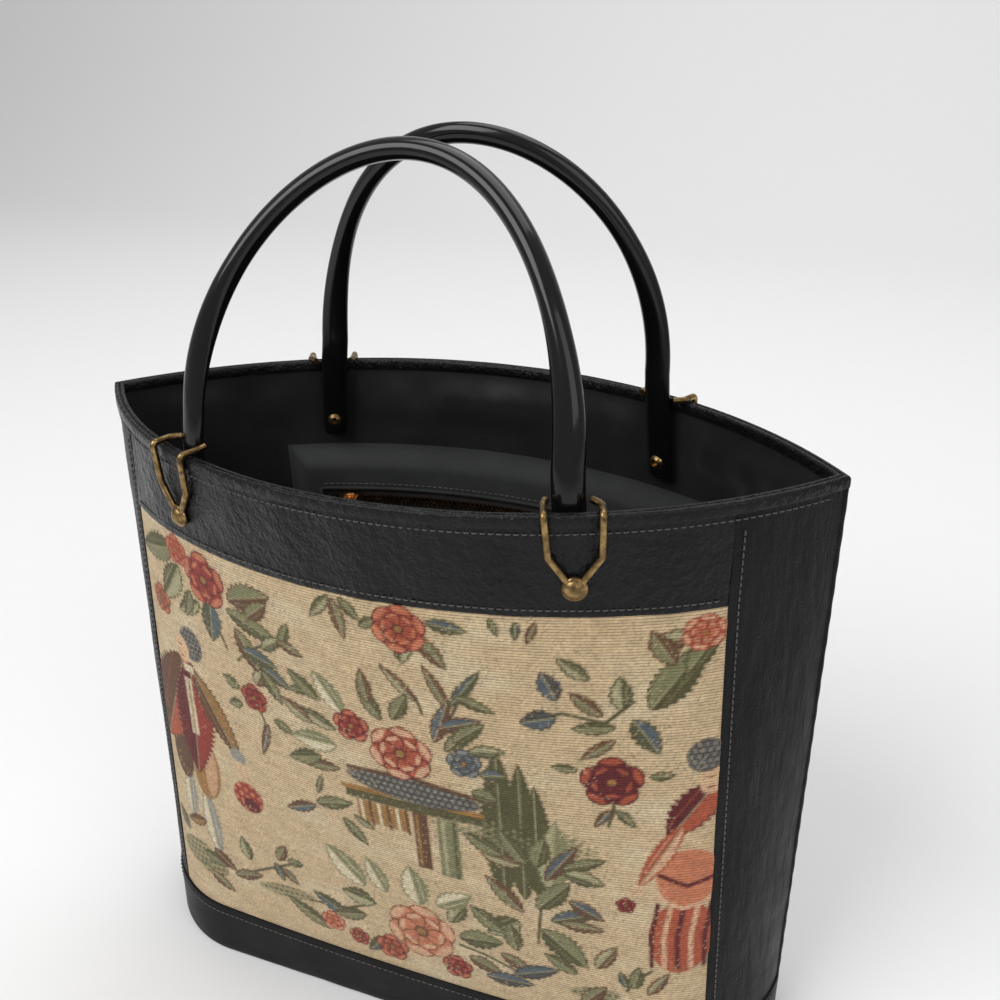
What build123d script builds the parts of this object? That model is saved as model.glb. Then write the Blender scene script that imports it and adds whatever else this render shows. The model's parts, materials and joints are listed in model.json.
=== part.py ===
from build123d import *
import os
from math import asin, atan2, cos, degrees, pi, radians, sin, sqrt

# Tapestry handbag, millimetres, +Z up, front towards -Y, standing on its base at Z 0.

# Driving dimensions of the body
HEIGHT = 291.0              # base to the top of the bound rim
RIM_HALF_WIDTH = 169.0      # the open rim is a lens of two equal arcs
RIM_HALF_DEPTH = 82.0
BASE_HALF_WIDTH = 164.0     # the base is an oblong with rounded ends
BASE_HALF_DEPTH = 58.0
BASE_END = 56.0             # length of each rounded end

# Layers of the wall, outside to inside
LEATHER = 1.2
BOARD = 1.6
LINING = 0.5
BOARD_IN = LEATHER + BOARD
WALL = BOARD_IN + LINING

# Tapestry panel, set a little below the face of the leather
PANEL_TOP = 248.5           # height of its top edge
PANEL_HALF_TOP = 134.3      # half width at the top edge
PANEL_HALF_LOW = 139.4      # half width at the base band
PANEL_SINK = 0.6            # depth of the cloth ground below the leather face
MOTIF_SINK = 0.25           # depth of the raised figures below the leather face

# Base band, base and rim binding
BAND_TOP = 30.0
BAND_PROUD = 0.9
BASE_BOARD = 2.5
BINDING = 0.6
BINDING_DEEP = 5.0          # how far the binding reaches down each face
RIM_UNDER = HEIGHT - 1.0    # the wall's layers end under the binding
WELT_RADIUS = 1.4
WELT_IN = 0.5               # the welt's line lies this far inside the side tip

# Handles, each one bowed bar
RIVET_Z = 262.0
RIVET_HALF_SPAN = 86.5      # on the outer face of the wall
LEG_GAP = 0.9               # the upright leg clears the leaning wall below its rivet
LEG_WIDTH, LEG_THICK = 12.6, 6.4
CROWN_WIDTH, CROWN_THICK = 8.8, 9.2
OUTER_SHARE = 0.62          # share of the thickness in front of the bar's sharp edges
SPRING_HALF_SPAN = 80.5     # half spacing of the legs where the arch begins
SPRING_UP = 12.0            # the arch begins this far above the rim
ARCH_RISE = 101.0
LEG_END = 8.5               # leg below its rivet
ARCH_STEPS = 22             # straight-sided lengths that make the arch
HANDLES = {                 # side, shift along X, lean inwards in degrees, bow inwards
    "front": (-1, -3.5, 8.0, 34.0),
    "rear": (1, 0.0, -11.0, 37.0),
}

# Keepers and rivets
WIRE = 1.4
EYE = 3.7                   # radius of the wire eye's centreline
ARM_FOOT = (9.7, 13.0)      # where an arm turns upright, from the rivet
ARM_INNER_TOP, ARM_OUTER_TOP = -11.3, 9.6
TIP_INNER, TIP_OUTER = -10.5, 6.4
SHANK = 1.6
COLLAR = 2.1
HEAD_RADIUS, HEAD_HEIGHT = 4.0, 1.8
CAP_RADIUS, CAP_HEIGHT = 3.6, 1.7
CAP_SINK = 0.8
FIT = 0.03                  # clearance of a shank in its hole
PUNCH_SIDES, PUNCH_TURN = 12, 37.0

# Zipped pocket on the rear lining
POCKET_HALF = 109.0
POCKET_LOW, POCKET_TOP = 95.0, 247.0
POCKET_STAND = 6.3          # how far the pouch stands off the lining
CLOTH = 0.6
SLOT_HALF = 92.0
SLOT_LOW, SLOT_TOP = 211.5, 224.5
ZIP_Z = 218.0
ZIP_AXIS_Y = -206.0         # the chain lies on an arc about this upright axis
TAPE_NEAR, TAPE_FAR = 273.9, 274.5
TOOTH_NEAR, TOOTH_FAR = 273.1, 275.3
TOOTH_PITCH = 2.4
TOOTH_WIDTH = 1.0
TOOTH_ROOT = 2.6            # height of a tooth from the chain's middle line
TOOTH_TIP = 0.45            # and how far it reaches between the other row's teeth
TAPE_EDGE = 1.2
TAPE_REACH = 9.0
TAPE_HALF = 97.0
CHAIN_HALF = 86.0
STOP_HALF = 88.6
SLIDER_X = -80.0            # the slider stands at the closed end
SLIDER_HALF = 6.0
WING_NEAR = (271.6, 272.8)  # radii of the slider's near and far plates
WING_FAR = (275.6, 276.8)
WING_TALL, WING_LOW = 4.4, 3.9
LIP = 0.9
LIP_RISE = 0.6
BAR_R = 268.9               # radius at which the slider's pull bar lies
BAR = 0.75
POST_IN, POST_OUT = 2.0, 3.4
PULL_EYE, PULL_HOLE = 2.15, 1.05
PULL_HALF = 1.7
PULL_LENGTH = 26.0
PULL_TAB = (2.6, 3.6)       # half widths of the tab at its neck and its foot
PULL_THICK = 1.2
PULL_SET = 0.3              # the tab hangs this far behind the bar's axis

FAR = 400.0

RIM_RADIUS = (RIM_HALF_WIDTH ** 2 + RIM_HALF_DEPTH ** 2) / (2 * RIM_HALF_DEPTH)
RIM_CENTRE = RIM_RADIUS - RIM_HALF_DEPTH
BASE_FLAT = BASE_HALF_WIDTH - BASE_END
RIM_SPLIT = BASE_FLAT * RIM_HALF_WIDTH / BASE_HALF_WIDTH

BODIES = {}
NODES = {}


# Body shape: a lens at the rim, an oblong at the base and straight walls between
def base_wire(inset):
    end, depth = BASE_END - inset, BASE_HALF_DEPTH - inset

    def quarter(x, start):
        return EllipticalCenterArc((x, 0), end, depth, start, arc_size=90)

    return Wire([
        quarter(-BASE_FLAT, 180),
        Line((-BASE_FLAT, -depth), (BASE_FLAT, -depth)),
        quarter(BASE_FLAT, 270),
        quarter(BASE_FLAT, 0),
        Line((BASE_FLAT, depth), (-BASE_FLAT, depth)),
        quarter(-BASE_FLAT, 90),
    ])


def rim_wire(inset):
    radius = RIM_RADIUS - inset
    tip = degrees(atan2(sqrt(radius ** 2 - RIM_CENTRE ** 2), RIM_CENTRE))
    split = degrees(asin(RIM_SPLIT / radius))
    edges = []
    for middle, centre in ((270, RIM_CENTRE), (90, -RIM_CENTRE)):
        for start, stop in ((-tip, -split), (-split, split), (split, tip)):
            edges.append(CenterArc((0, centre), radius, middle + start, stop - start))
    return Pos(0, 0, HEIGHT) * Wire(edges)


def body(inset):
    """The whole bag as one solid, with its walls moved in by inset."""
    if inset not in BODIES:
        BODIES[inset] = Solid.make_loft([base_wire(inset), rim_wire(inset)], ruled=True)
    return BODIES[inset]


def block(x0, x1, y0, y1, z0, z1):
    return Pos((x0 + x1) / 2, (y0 + y1) / 2, (z0 + z1) / 2) * Box(x1 - x0, y1 - y0, z1 - z0)


def layer(outer, inner, side, z0, z1):
    """Front (-1) or rear (1) half of the wall between two insets."""
    near, far = sorted((0, side * FAR))
    half = block(-FAR, FAR, near, far, z0, z1)
    return (body(outer) & half) - body(inner)


def wall_frame(x, z, side):
    """A point of the wall's outer face with the directions along it, up it and out of it."""
    share = z / HEIGHT
    turn = asin(RIM_SPLIT / RIM_RADIUS)
    low, high = -1.0, 1.0
    while high - low > 1e-9:
        u = (low + high) / 2
        at = (1 - share) * BASE_FLAT * u + share * RIM_RADIUS * sin(turn * u)
        low, high = (u, high) if at < x else (low, u)
    base = Vector(BASE_FLAT * u, side * BASE_HALF_DEPTH, 0)
    rim = Vector(RIM_RADIUS * sin(turn * u), side * (RIM_RADIUS * cos(turn * u) - RIM_CENTRE), HEIGHT)
    bend = Vector(RIM_RADIUS * turn * cos(turn * u), -side * RIM_RADIUS * turn * sin(turn * u), 0)
    along = (Vector(BASE_FLAT, 0, 0) * (1 - share) + bend * share).normalized()
    up = (rim - base).normalized()
    return base + (rim - base) * share, along, up, along.cross(up).normalized() * -side


def prism(outline):
    """An outline drawn in X and height, pushed through the front wall."""
    return extrude(Plane.XZ * outline, FAR)


# Handles
def leg_foot(name, end):
    """Centre of a leg at its rivet, and the turn of its section to lie along the wall."""
    side, shift = HANDLES[name][:2]
    face, along, up, out = wall_frame(end * RIVET_HALF_SPAN + shift, RIVET_Z, side)
    return face - out * (WALL + LEG_GAP + LEG_THICK * OUTER_SHARE), side * atan2(abs(along.Y), along.X)


def handle_point(name, feet, s):
    """Centre of the bar: s from -1 to 0 goes up the left leg, to 1 round the arch, to 2 down."""
    side, shift, lean, bow = HANDLES[name]
    left, right = feet
    middle = (left.X + right.X) / 2
    if 0 <= s <= 1:
        across = -SPRING_HALF_SPAN * cos(pi * s)
        rise = SPRING_UP + ARCH_RISE * sin(pi * s)
    else:
        leg = -s if s < 0 else s - 1
        rise = SPRING_UP - leg * (HEIGHT + SPRING_UP - RIVET_Z)
        spread = SPRING_HALF_SPAN + leg * ((right.X - left.X) / 2 - SPRING_HALF_SPAN)
        across = -spread if s < 0 else spread
    share = (1 + across / SPRING_HALF_SPAN) / 2
    depth = left.Y + (right.Y - left.Y) * min(max(share, 0), 1)
    slope = sin(radians(lean))
    if rise > SPRING_UP:
        inward = slope * rise
    else:
        inward = slope * max(rise + SPRING_UP, 0) ** 2 / (4 * SPRING_UP)
    inward += bow * (max(rise, 0) / (SPRING_UP + ARCH_RISE)) ** 2
    return Vector(middle + across, depth - side * inward, HEIGHT + rise)


def handle_section(name, feet, twists, s, scale):
    side = HANDLES[name][0]
    step = 0.002
    centre = handle_point(name, feet, s)
    tangent = (handle_point(name, feet, s + step) - handle_point(name, feet, s - step)).normalized()
    inner = Vector(tangent.Z, 0, -tangent.X).normalized()
    leg = 1 - min(max(min(s, 1 - s) / 0.22, 0), 1)
    leg = leg * leg * (3 - 2 * leg)
    twist = twists[0] if s < 0.5 else twists[1]
    across = inner.rotate(Axis((0, 0, 0), tangent), degrees(twist) * leg)
    width = scale * (CROWN_WIDTH + (LEG_WIDTH - CROWN_WIDTH) * leg) / 2
    thick = scale * (CROWN_THICK + (LEG_THICK - CROWN_THICK) * leg)
    outer, back = thick * OUTER_SHARE, thick * (1 - OUTER_SHARE)
    start = 90 - 90 * side
    bulge = EllipticalCenterArc((0, 0), width, outer, start, arc_size=180)
    flat = ThreePointArc((side * -width, 0), (0, -side * back), (side * width, 0))
    return Plane(origin=centre, x_dir=across, z_dir=tangent).location * Wire([bulge, flat])


def handle(name):
    """One bar from its left foot over the arch to its right foot."""
    feet, twists = zip(leg_foot(name, -1), leg_foot(name, 1))
    end = -(RIVET_Z - HEIGHT - SPRING_UP - LEG_END) / (HEIGHT + SPRING_UP - RIVET_Z)
    legs = ((end, 0.72), (end - 0.05, 0.96), (end - 0.12, 1), (0.75, 1), (0.4, 1))
    stations = [(-leg, scale) for leg, scale in legs]
    stations += [(turn / ARCH_STEPS, 1) for turn in range(ARCH_STEPS + 1)]
    stations += [(1 + leg, scale) for leg, scale in reversed(legs)]
    sections = [handle_section(name, feet, twists, s, scale) for s, scale in stations]
    return Solid.make_loft(sections, ruled=True)


# Keepers, rivets and caps
def dome(radius, height):
    ball = (radius ** 2 + height ** 2) / (2 * height)
    return (Pos(0, 0, height - ball) * Sphere(ball)) & block(-FAR, FAR, -FAR, FAR, 0, FAR)


def rivet_frame(name, end):
    side, shift = HANDLES[name][:2]
    face, along, up, out = wall_frame(end * RIVET_HALF_SPAN + shift, RIVET_Z, side)
    return face, along * end, up, out


def keeper(name, end):
    """Bent wire: an eye round the rivet and two arms that pass over the rim to grip the leg."""
    face, outboard, up, out = rivet_frame(name, end)
    over = (HEIGHT + WIRE + 0.15 - RIVET_Z) / up.Z

    def at(a, u, n):
        return face + outboard * a + up * u + out * n

    eye = Plane(origin=at(0, 0, WIRE + 0.03), z_dir=out).location * Torus(EYE, WIRE)
    wire = eye
    for hand, top, tip in ((-1, ARM_INNER_TOP, TIP_INNER), (1, ARM_OUTER_TOP, TIP_OUTER)):
        foot_a, foot_u = hand * ARM_FOOT[0], ARM_FOOT[1]
        start = 0.7 * EYE * hand, 0.7 * EYE
        route = [at(*start, WIRE + 0.1), at(foot_a, foot_u, 1.7), at(top, over, 2.5),
                 at(top, over, -5.5), at(tip, over, -9.5)]
        path = FilletPolyline(*route, radius=1.9)
        wire += sweep(Plane(origin=path @ 0, z_dir=path % 0) * Circle(WIRE), path)
    return wire


def hardware(name, end, bar):
    """The wire keeper, its rivet and the inner cap, and the hole that the shank takes."""
    face, outboard, up, out = rivet_frame(name, end)
    depth = WALL + LEG_GAP + LEG_THICK
    frame = Plane(origin=face, x_dir=outboard, z_dir=out).location
    punch = RegularPolygon(SHANK + FIT, PUNCH_SIDES, major_radius=False)
    hole = frame * Rot(0, 0, PUNCH_TURN) * extrude(punch, depth + 4, both=True)
    collar = 2 * WIRE + 0.1
    rivet = Pos(0, 0, collar) * dome(HEAD_RADIUS, HEAD_HEIGHT)
    rivet += Pos(0, 0, (collar + 0.02) / 2) * Cylinder(COLLAR, collar - 0.02)
    rivet += Pos(0, 0, -depth / 2 + 0.5) * Cylinder(SHANK, depth + 1)
    cap = Pos(0, 0, -depth + CAP_SINK) * Rot(180, 0, 0) * dome(CAP_RADIUS, CAP_HEIGHT + CAP_SINK)
    cap = frame * cap - bar - hole
    return keeper(name, end), frame * rivet, cap, hole


# Zip and pocket
def sector(near, far, half_length, z0, z1, centre=0.0):
    """A slab of the zip's arc, with its half length and place measured along the arc."""
    turn = degrees(half_length / TAPE_NEAR)
    middle = 90 - degrees(centre / TAPE_NEAR)
    hub = (0, ZIP_AXIS_Y)
    outer = CenterArc(hub, far, middle - turn, 2 * turn)
    inner = CenterArc(hub, near, middle - turn, 2 * turn)
    face = make_face([outer, inner, Line(outer @ 0, inner @ 0), Line(outer @ 1, inner @ 1)])
    return Pos(0, 0, z0) * extrude(face, z1 - z0)


def on_arc(shape, along):
    """Turn a shape made at the middle of the chain to its place along it."""
    turn = -degrees(along / TAPE_NEAR)
    return Pos(0, ZIP_AXIS_Y, 0) * Rot(0, 0, turn) * shape


def tooth(row):
    """One tooth: a head past the middle line and two jaws on the tape."""
    gap = FIT
    profile = Polyline(
        (TOOTH_NEAR, -TOOTH_TIP), (TOOTH_FAR, -TOOTH_TIP), (TOOTH_FAR, TOOTH_ROOT),
        (TAPE_FAR + gap, TOOTH_ROOT), (TAPE_FAR + gap, TAPE_EDGE - gap),
        (TAPE_NEAR - gap, TAPE_EDGE - gap), (TAPE_NEAR - gap, TOOTH_ROOT), (TOOTH_NEAR, TOOTH_ROOT),
        close=True)
    solid = extrude(Plane.YZ * make_face(profile), TOOTH_WIDTH / 2, both=True)
    solid = solid if row > 0 else mirror(solid, Plane.XY)
    return Pos(0, 0, ZIP_Z) * solid


def teeth(row):
    count = int(2 * CHAIN_HALF / TOOTH_PITCH)
    one = tooth(row)
    first = -CHAIN_HALF + TOOTH_PITCH * (0.25 if row > 0 else 0.75)
    return Compound([on_arc(one, first + TOOTH_PITCH * turn) for turn in range(count)])


def wing(near, far, lip_near, lip_far):
    """A slider plate with lips that turn in beside the teeth."""
    outline = Polyline(
        (-SLIDER_HALF, -WING_TALL), (0.5, -WING_TALL), (SLIDER_HALF, -WING_LOW),
        (SLIDER_HALF, WING_LOW), (0.5, WING_TALL), (-SLIDER_HALF, WING_TALL), close=True)
    face = fillet(make_face(outline).vertices(), 0.8)
    plate = extrude(Plane.XZ * face, -(far - near))
    inside = Box(3 * SLIDER_HALF, FAR, 2 * (WING_LOW - LIP))
    lips = extrude(Plane.XZ * face, -(lip_far - lip_near)) - inside
    return Pos(0, near, 0) * plate + Pos(0, lip_near, 0) * lips


def slider_plates():
    near = wing(*WING_NEAR, WING_NEAR[1] - 0.01, WING_NEAR[1] + LIP_RISE)
    far = wing(*WING_FAR, WING_FAR[0] - LIP_RISE, WING_FAR[0] + 0.01)
    bar = Pos(0, BAR_R, 0) * Rot(0, 90, 0) * Cylinder(BAR, 2 * POST_OUT)
    reach = WING_NEAR[0] - BAR_R + BAR
    for hand in (-1, 1):
        x = hand * (POST_IN + POST_OUT) / 2
        post = Pos(x, BAR_R - BAR + reach / 2 + 0.05, 0) * Box(POST_OUT - POST_IN, reach + 0.1, 2.6)
        bar += post
    return near + bar, far


def pull():
    """A tab on an eye that turns about the slider's bar."""
    eye = Rot(0, 90, 0) * (Cylinder(PULL_EYE, 2 * PULL_HALF) - Cylinder(PULL_HOLE, 2 * PULL_HALF))
    neck, foot = PULL_TAB
    outline = Polyline(
        (-PULL_HALF, -1.6), (-neck, -5), (-foot, -PULL_LENGTH), (foot, -PULL_LENGTH),
        (neck, -5), (PULL_HALF, -1.6), close=True)
    face = make_face(outline)
    face = fillet(face.vertices().sort_by(Axis.Y)[:2], 2.4)
    face -= Pos(0, 3.4 - PULL_LENGTH) * SlotOverall(3.6, 1.6)
    tab = Pos(0, PULL_SET, 0) * extrude(Plane.XZ * face, PULL_THICK / 2, both=True)
    tab -= Rot(0, 90, 0) * Cylinder(PULL_HOLE, 3 * PULL_HALF)
    return Pos(0, BAR_R, ZIP_Z) * (eye + tab)


# Figures of the tapestry, drawn in X and height
def leaf(x, z, angle, length, width):
    upper = ThreePointArc((0, 0), (length / 2, width / 2), (length, 0))
    lower = ThreePointArc((length, 0), (length / 2, -width / 2), (0, 0))
    return Pos(x, z) * Rot(0, 0, angle) * make_face([upper, lower])


def bloom(x, z, radius, petals=5):
    """A flower outline of scalloped petals."""
    waist = 0.74 * radius
    edges = []
    for petal in range(petals):
        start, middle, stop = (2 * pi * (petal + share) / petals + 0.4 for share in (0, 0.5, 1))
        edges.append(ThreePointArc(
            (waist * cos(start), waist * sin(start)),
            (radius * cos(middle), radius * sin(middle)),
            (waist * cos(stop), waist * sin(stop))))
    return Pos(x, z) * make_face(edges)


def oval(x, z, across, tall, angle=0.0):
    return Pos(x, z) * Rot(0, 0, angle) * Ellipse(across, tall)


def bar(x0, x1, z0, z1):
    return Pos((x0 + x1) / 2, (z0 + z1) / 2) * Rectangle(x1 - x0, z1 - z0)


def joined(shapes):
    first, *rest = shapes
    return first.fuse(*rest) if rest else first


FIGURES = {
    "tapestry_hair": [oval(-102, 190, 7, 10), oval(130, 182, 8, 9)],
    "tapestry_skin": [oval(-110, 185, 5, 9), oval(134, 172, 5, 9), leaf(-108, 104, -88, 36, 9),
                      leaf(-124, 108, -82, 32, 9), leaf(-82, 132, -85, 12, 5)],
    "tapestry_dress": [leaf(-112, 180, -116, 56, 26), leaf(-108, 176, -92, 70, 22),
                       leaf(-103, 174, -58, 46, 15), oval(-107, 116, 9, 17, -6),
                       oval(-123, 124, 8, 15), oval(-80, 114, 8, 11, -20), leaf(-110, 68, -35, 18, 7),
                       leaf(-113, 82, 205, 18, 7), leaf(136, 168, -125, 30, 18),
                       leaf(121, 148, -112, 40, 8), oval(129, 120, 11, 13), oval(128, 89, 12, 17)],
    "tapestry_red_flowers": [bloom(-84, 231, 14), bloom(-122, 207, 8), bloom(-64, 178, 9),
                             bloom(-12, 181, 9), bloom(97, 170, 13), bloom(-8, 44, 9),
                             bloom(26, 44, 8), oval(104, 106, 4, 4)],
    "tapestry_pink_flowers": [bloom(10, 171, 14, 6), bloom(16, 236, 10), bloom(9, 62, 18, 6),
                              bloom(-104, 236, 8), bloom(126, 238, 7), bloom(-38, 50, 8),
                              bloom(-120, 58, 9)],
    "tapestry_blue_flowers": [bloom(38, 172, 9), leaf(76, 210, 113, 15, 9), leaf(76, 202, 195, 15, 10),
                              leaf(40, 44, 5, 24, 9), leaf(54, 50, 25, 24, 9)],
    "tapestry_basket": [leaf(-18, 156, -3, 62, 14), bar(-16, 42, 140, 145), bar(-12, -2, 126, 140),
                        bar(2, 8, 122, 140), bar(12, 19, 106, 140), bar(23, 33, 104, 140)],
    "tapestry_leaves": [
        leaf(-104, 240, 199, 32, 14), leaf(-102, 232, 234, 28, 14), leaf(-70, 228, 20, 28, 14),
        leaf(-72, 222, -14, 30, 11), leaf(-82, 222, -98, 22, 13), leaf(-68, 214, -62, 24, 11),
        leaf(-54, 208, 38, 16, 7), leaf(-42, 214, 68, 14, 6), leaf(-44, 216, -20, 14, 6),
        leaf(-58, 200, -28, 20, 8), leaf(-42, 192, 8, 12, 5), leaf(-61, 186, 62, 12, 8),
        leaf(-72, 180, 158, 11, 7), leaf(-72, 172, 200, 10, 6), leaf(-58, 166, -108, 22, 5),
        leaf(-54, 170, -25, 12, 6), leaf(-13, 247, 230, 17, 6), leaf(-12, 246, -80, 20, 7),
        leaf(-9, 247, -48, 13, 6), leaf(27, 242, -8, 17, 7), leaf(22, 236, -52, 20, 8),
        leaf(17, 234, -95, 14, 9), leaf(7, 240, 212, 10, 6), leaf(34, 200, 115, 24, 6),
        leaf(34, 202, 56, 24, 6), leaf(36, 208, -22, 18, 6), leaf(20, 202, 132, 22, 6),
        leaf(3, 188, 118, 20, 8), leaf(8, 190, 62, 17, 8), leaf(26, 182, 72, 24, 8),
        leaf(30, 178, 48, 22, 8), leaf(-20, 176, 160, 22, 8), leaf(-21, 154, 186, 24, 7),
        leaf(40, 158, -12, 12, 9), leaf(44, 168, 8, 12, 8), leaf(93, 203, 138, 17, 7),
        leaf(100, 206, 94, 16, 9), leaf(98, 198, 184, 17, 7), leaf(98, 192, 218, 17, 6),
        leaf(104, 202, -58, 20, 10), leaf(110, 206, 58, 34, 15), leaf(108, 234, 18, 20, 9),
        leaf(111, 174, 6, 10, 5), leaf(84, 176, 172, 11, 5), leaf(97, 157, -124, 12, 5),
        leaf(99, 157, -48, 12, 5), leaf(-88, 62, 38, 34, 4), leaf(-86, 70, 103, 15, 8),
        leaf(-68, 78, 62, 14, 7), leaf(-62, 80, 10, 10, 6), leaf(-70, 76, -70, 12, 6),
        leaf(-66, 74, -42, 12, 6), leaf(-14, 72, 172, 18, 12), leaf(-7, 82, 112, 22, 11),
        leaf(10, 80, 98, 25, 14), leaf(18, 83, 34, 22, 11), leaf(28, 66, 8, 22, 12),
        leaf(48, 62, -28, 18, 8), leaf(-30, 56, 152, 22, 9), leaf(-42, 42, 150, 28, 9),
        leaf(60, 120, 168, 19, 8), leaf(62, 121, 122, 22, 9), leaf(66, 121, 78, 18, 10),
        leaf(70, 114, 58, 26, 8), leaf(77, 122, 22, 20, 7), leaf(78, 120, -14, 18, 9),
        leaf(60, 92, 132, 25, 9), leaf(66, 96, 52, 24, 11), leaf(72, 90, 24, 22, 9),
        leaf(76, 90, -2, 20, 7), leaf(58, 86, 218, 20, 13), leaf(68, 84, -42, 28, 14),
        leaf(86, 42, 52, 18, 9), leaf(106, 58, 110, 10, 5), leaf(109, 58, 82, 14, 7),
        leaf(115, 56, 58, 16, 6), leaf(-36, 134, 72, 14, 4), leaf(-38, 128, 18, 22, 8),
        leaf(-38, 126, 205, 20, 7), leaf(-24, 124, -50, 18, 7), leaf(-8, 122, 150, 12, 5),
        leaf(-115, 52, -30, 18, 7),
    ],
    "tapestry_pale_leaves": [
        leaf(-15, 186, 122, 24, 11), leaf(-21, 167, 184, 24, 12), leaf(-18, 82, 132, 28, 15),
        leaf(52, 112, 91, 74, 18), leaf(61, 104, 90, 74, 17), leaf(73, 108, 88, 38, 15),
        bar(44, 70, 100, 116),
    ],
}

PANEL = Polyline((-PANEL_HALF_LOW, BAND_TOP), (PANEL_HALF_LOW, BAND_TOP), (PANEL_HALF_TOP, PANEL_TOP),
                 (-PANEL_HALF_TOP, PANEL_TOP), close=True)
FRONT_OPENING = Polyline(
    (-PANEL_HALF_LOW, 0), (-PANEL_HALF_LOW, BAND_TOP), (-PANEL_HALF_TOP, PANEL_TOP),
    (-PANEL_HALF_TOP, HEIGHT), (PANEL_HALF_TOP, HEIGHT), (PANEL_HALF_TOP, PANEL_TOP),
    (PANEL_HALF_LOW, BAND_TOP), (PANEL_HALF_LOW, 0), close=True)


def make_tapestry():
    window = make_face(PANEL)
    NODES["tapestry_panel"] = layer(PANEL_SINK, LEATHER, -1, BAND_TOP, PANEL_TOP) & prism(window)
    raised = layer(MOTIF_SINK, PANEL_SINK, -1, BAND_TOP, PANEL_TOP)
    free = offset(window, -0.3)
    for name, shapes in FIGURES.items():
        figure = joined(shapes)
        NODES[name] = raised & prism(figure & free)
        free -= figure


def welt(end):
    """A rolled strip down the side seam."""
    low = Vector(end * (BASE_HALF_WIDTH - WELT_IN), 0, BAND_TOP)
    low.X += end * (RIM_HALF_WIDTH - BASE_HALF_WIDTH) * BAND_TOP / HEIGHT
    high = Vector(end * (RIM_HALF_WIDTH - WELT_IN), 0, HEIGHT)
    run = high - low
    return Solid.make_cylinder(WELT_RADIUS, run.length, Plane(origin=low, z_dir=run))


def make_shell():
    welts = {"side_welt_left": welt(-1), "side_welt_right": welt(1)}
    front = layer(0, LEATHER, -1, BAND_TOP, RIM_UNDER)
    for rod in welts.values():
        front -= rod
    opening = prism(make_face(FRONT_OPENING))
    sides = front - opening
    NODES["front_top_band"] = (front & opening) & block(-FAR, FAR, -FAR, 0, PANEL_TOP, HEIGHT)
    NODES["front_side_left"] = sides & block(-FAR, 0, -FAR, FAR, 0, HEIGHT)
    NODES["front_side_right"] = sides & block(0, FAR, -FAR, FAR, 0, HEIGHT)
    rear = layer(0, LEATHER, 1, BAND_TOP, RIM_UNDER)
    for name, rod in welts.items():
        rear -= rod
        NODES[name] = (rod - body(LEATHER)) & block(-FAR, FAR, -FAR, FAR, 0, HEIGHT - BINDING_DEEP)
    NODES["rear_leather"] = rear
    for name, side in (("front", -1), ("rear", 1)):
        NODES[name + "_board"] = layer(LEATHER, BOARD_IN, side, LEATHER + BASE_BOARD, RIM_UNDER)
        floor = LEATHER + BASE_BOARD + LINING
        NODES[name + "_lining"] = layer(BOARD_IN, WALL, side, floor, RIM_UNDER)
    whole = (-FAR, FAR, -FAR, FAR)
    skirt = body(-BAND_PROUD) & block(*whole, LEATHER, BAND_TOP)
    NODES["base_band"] = skirt - body(LEATHER)
    NODES["base_leather"] = body(-BAND_PROUD) & block(*whole, 0, LEATHER)
    NODES["base_board"] = body(LEATHER) & block(*whole, LEATHER, LEATHER + BASE_BOARD)
    floor = LEATHER + BASE_BOARD
    NODES["base_lining"] = body(BOARD_IN) & block(*whole, floor, floor + LINING)
    lip = body(-BINDING) & block(*whole, HEIGHT - BINDING_DEEP, HEIGHT)
    wall = body(0) & block(*whole, 0, RIM_UNDER)
    core = wall - body(WALL)
    NODES["rim_binding"] = (lip - body(WALL + BINDING)) - core


def make_handles():
    skins = {"front": ("front_top_band", "front_board", "front_lining"),
             "rear": ("rear_leather", "rear_board", "rear_lining")}
    for name, pierced in skins.items():
        bar_node = name + "_handle"
        NODES[bar_node] = handle(name)
        for end, hand in ((-1, "left"), (1, "right")):
            wire, rivet, cap, hole = hardware(name, end, NODES[bar_node])
            NODES[name + "_keeper_" + hand] = wire
            NODES[name + "_rivet_" + hand] = rivet
            NODES[name + "_cap_" + hand] = cap
            for node in pierced + (bar_node,):
                NODES[node] -= hole


def make_pocket():
    half = block(-POCKET_HALF, POCKET_HALF, 0, FAR, POCKET_LOW, POCKET_TOP)
    inner = block(CLOTH - POCKET_HALF, POCKET_HALF - CLOTH, 0, FAR, POCKET_LOW + CLOTH, POCKET_TOP - CLOTH)
    pouch = (body(WALL) & half) - body(WALL + POCKET_STAND)
    pouch -= (body(WALL) & inner) - body(WALL + POCKET_STAND - CLOTH)
    pouch -= block(-SLOT_HALF, SLOT_HALF, 0, FAR, SLOT_LOW, SLOT_TOP)
    NODES["pocket_upper"] = pouch & block(-FAR, FAR, 0, FAR, ZIP_Z, FAR)
    NODES["pocket_lower"] = pouch & block(-FAR, FAR, 0, FAR, 0, ZIP_Z)


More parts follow.
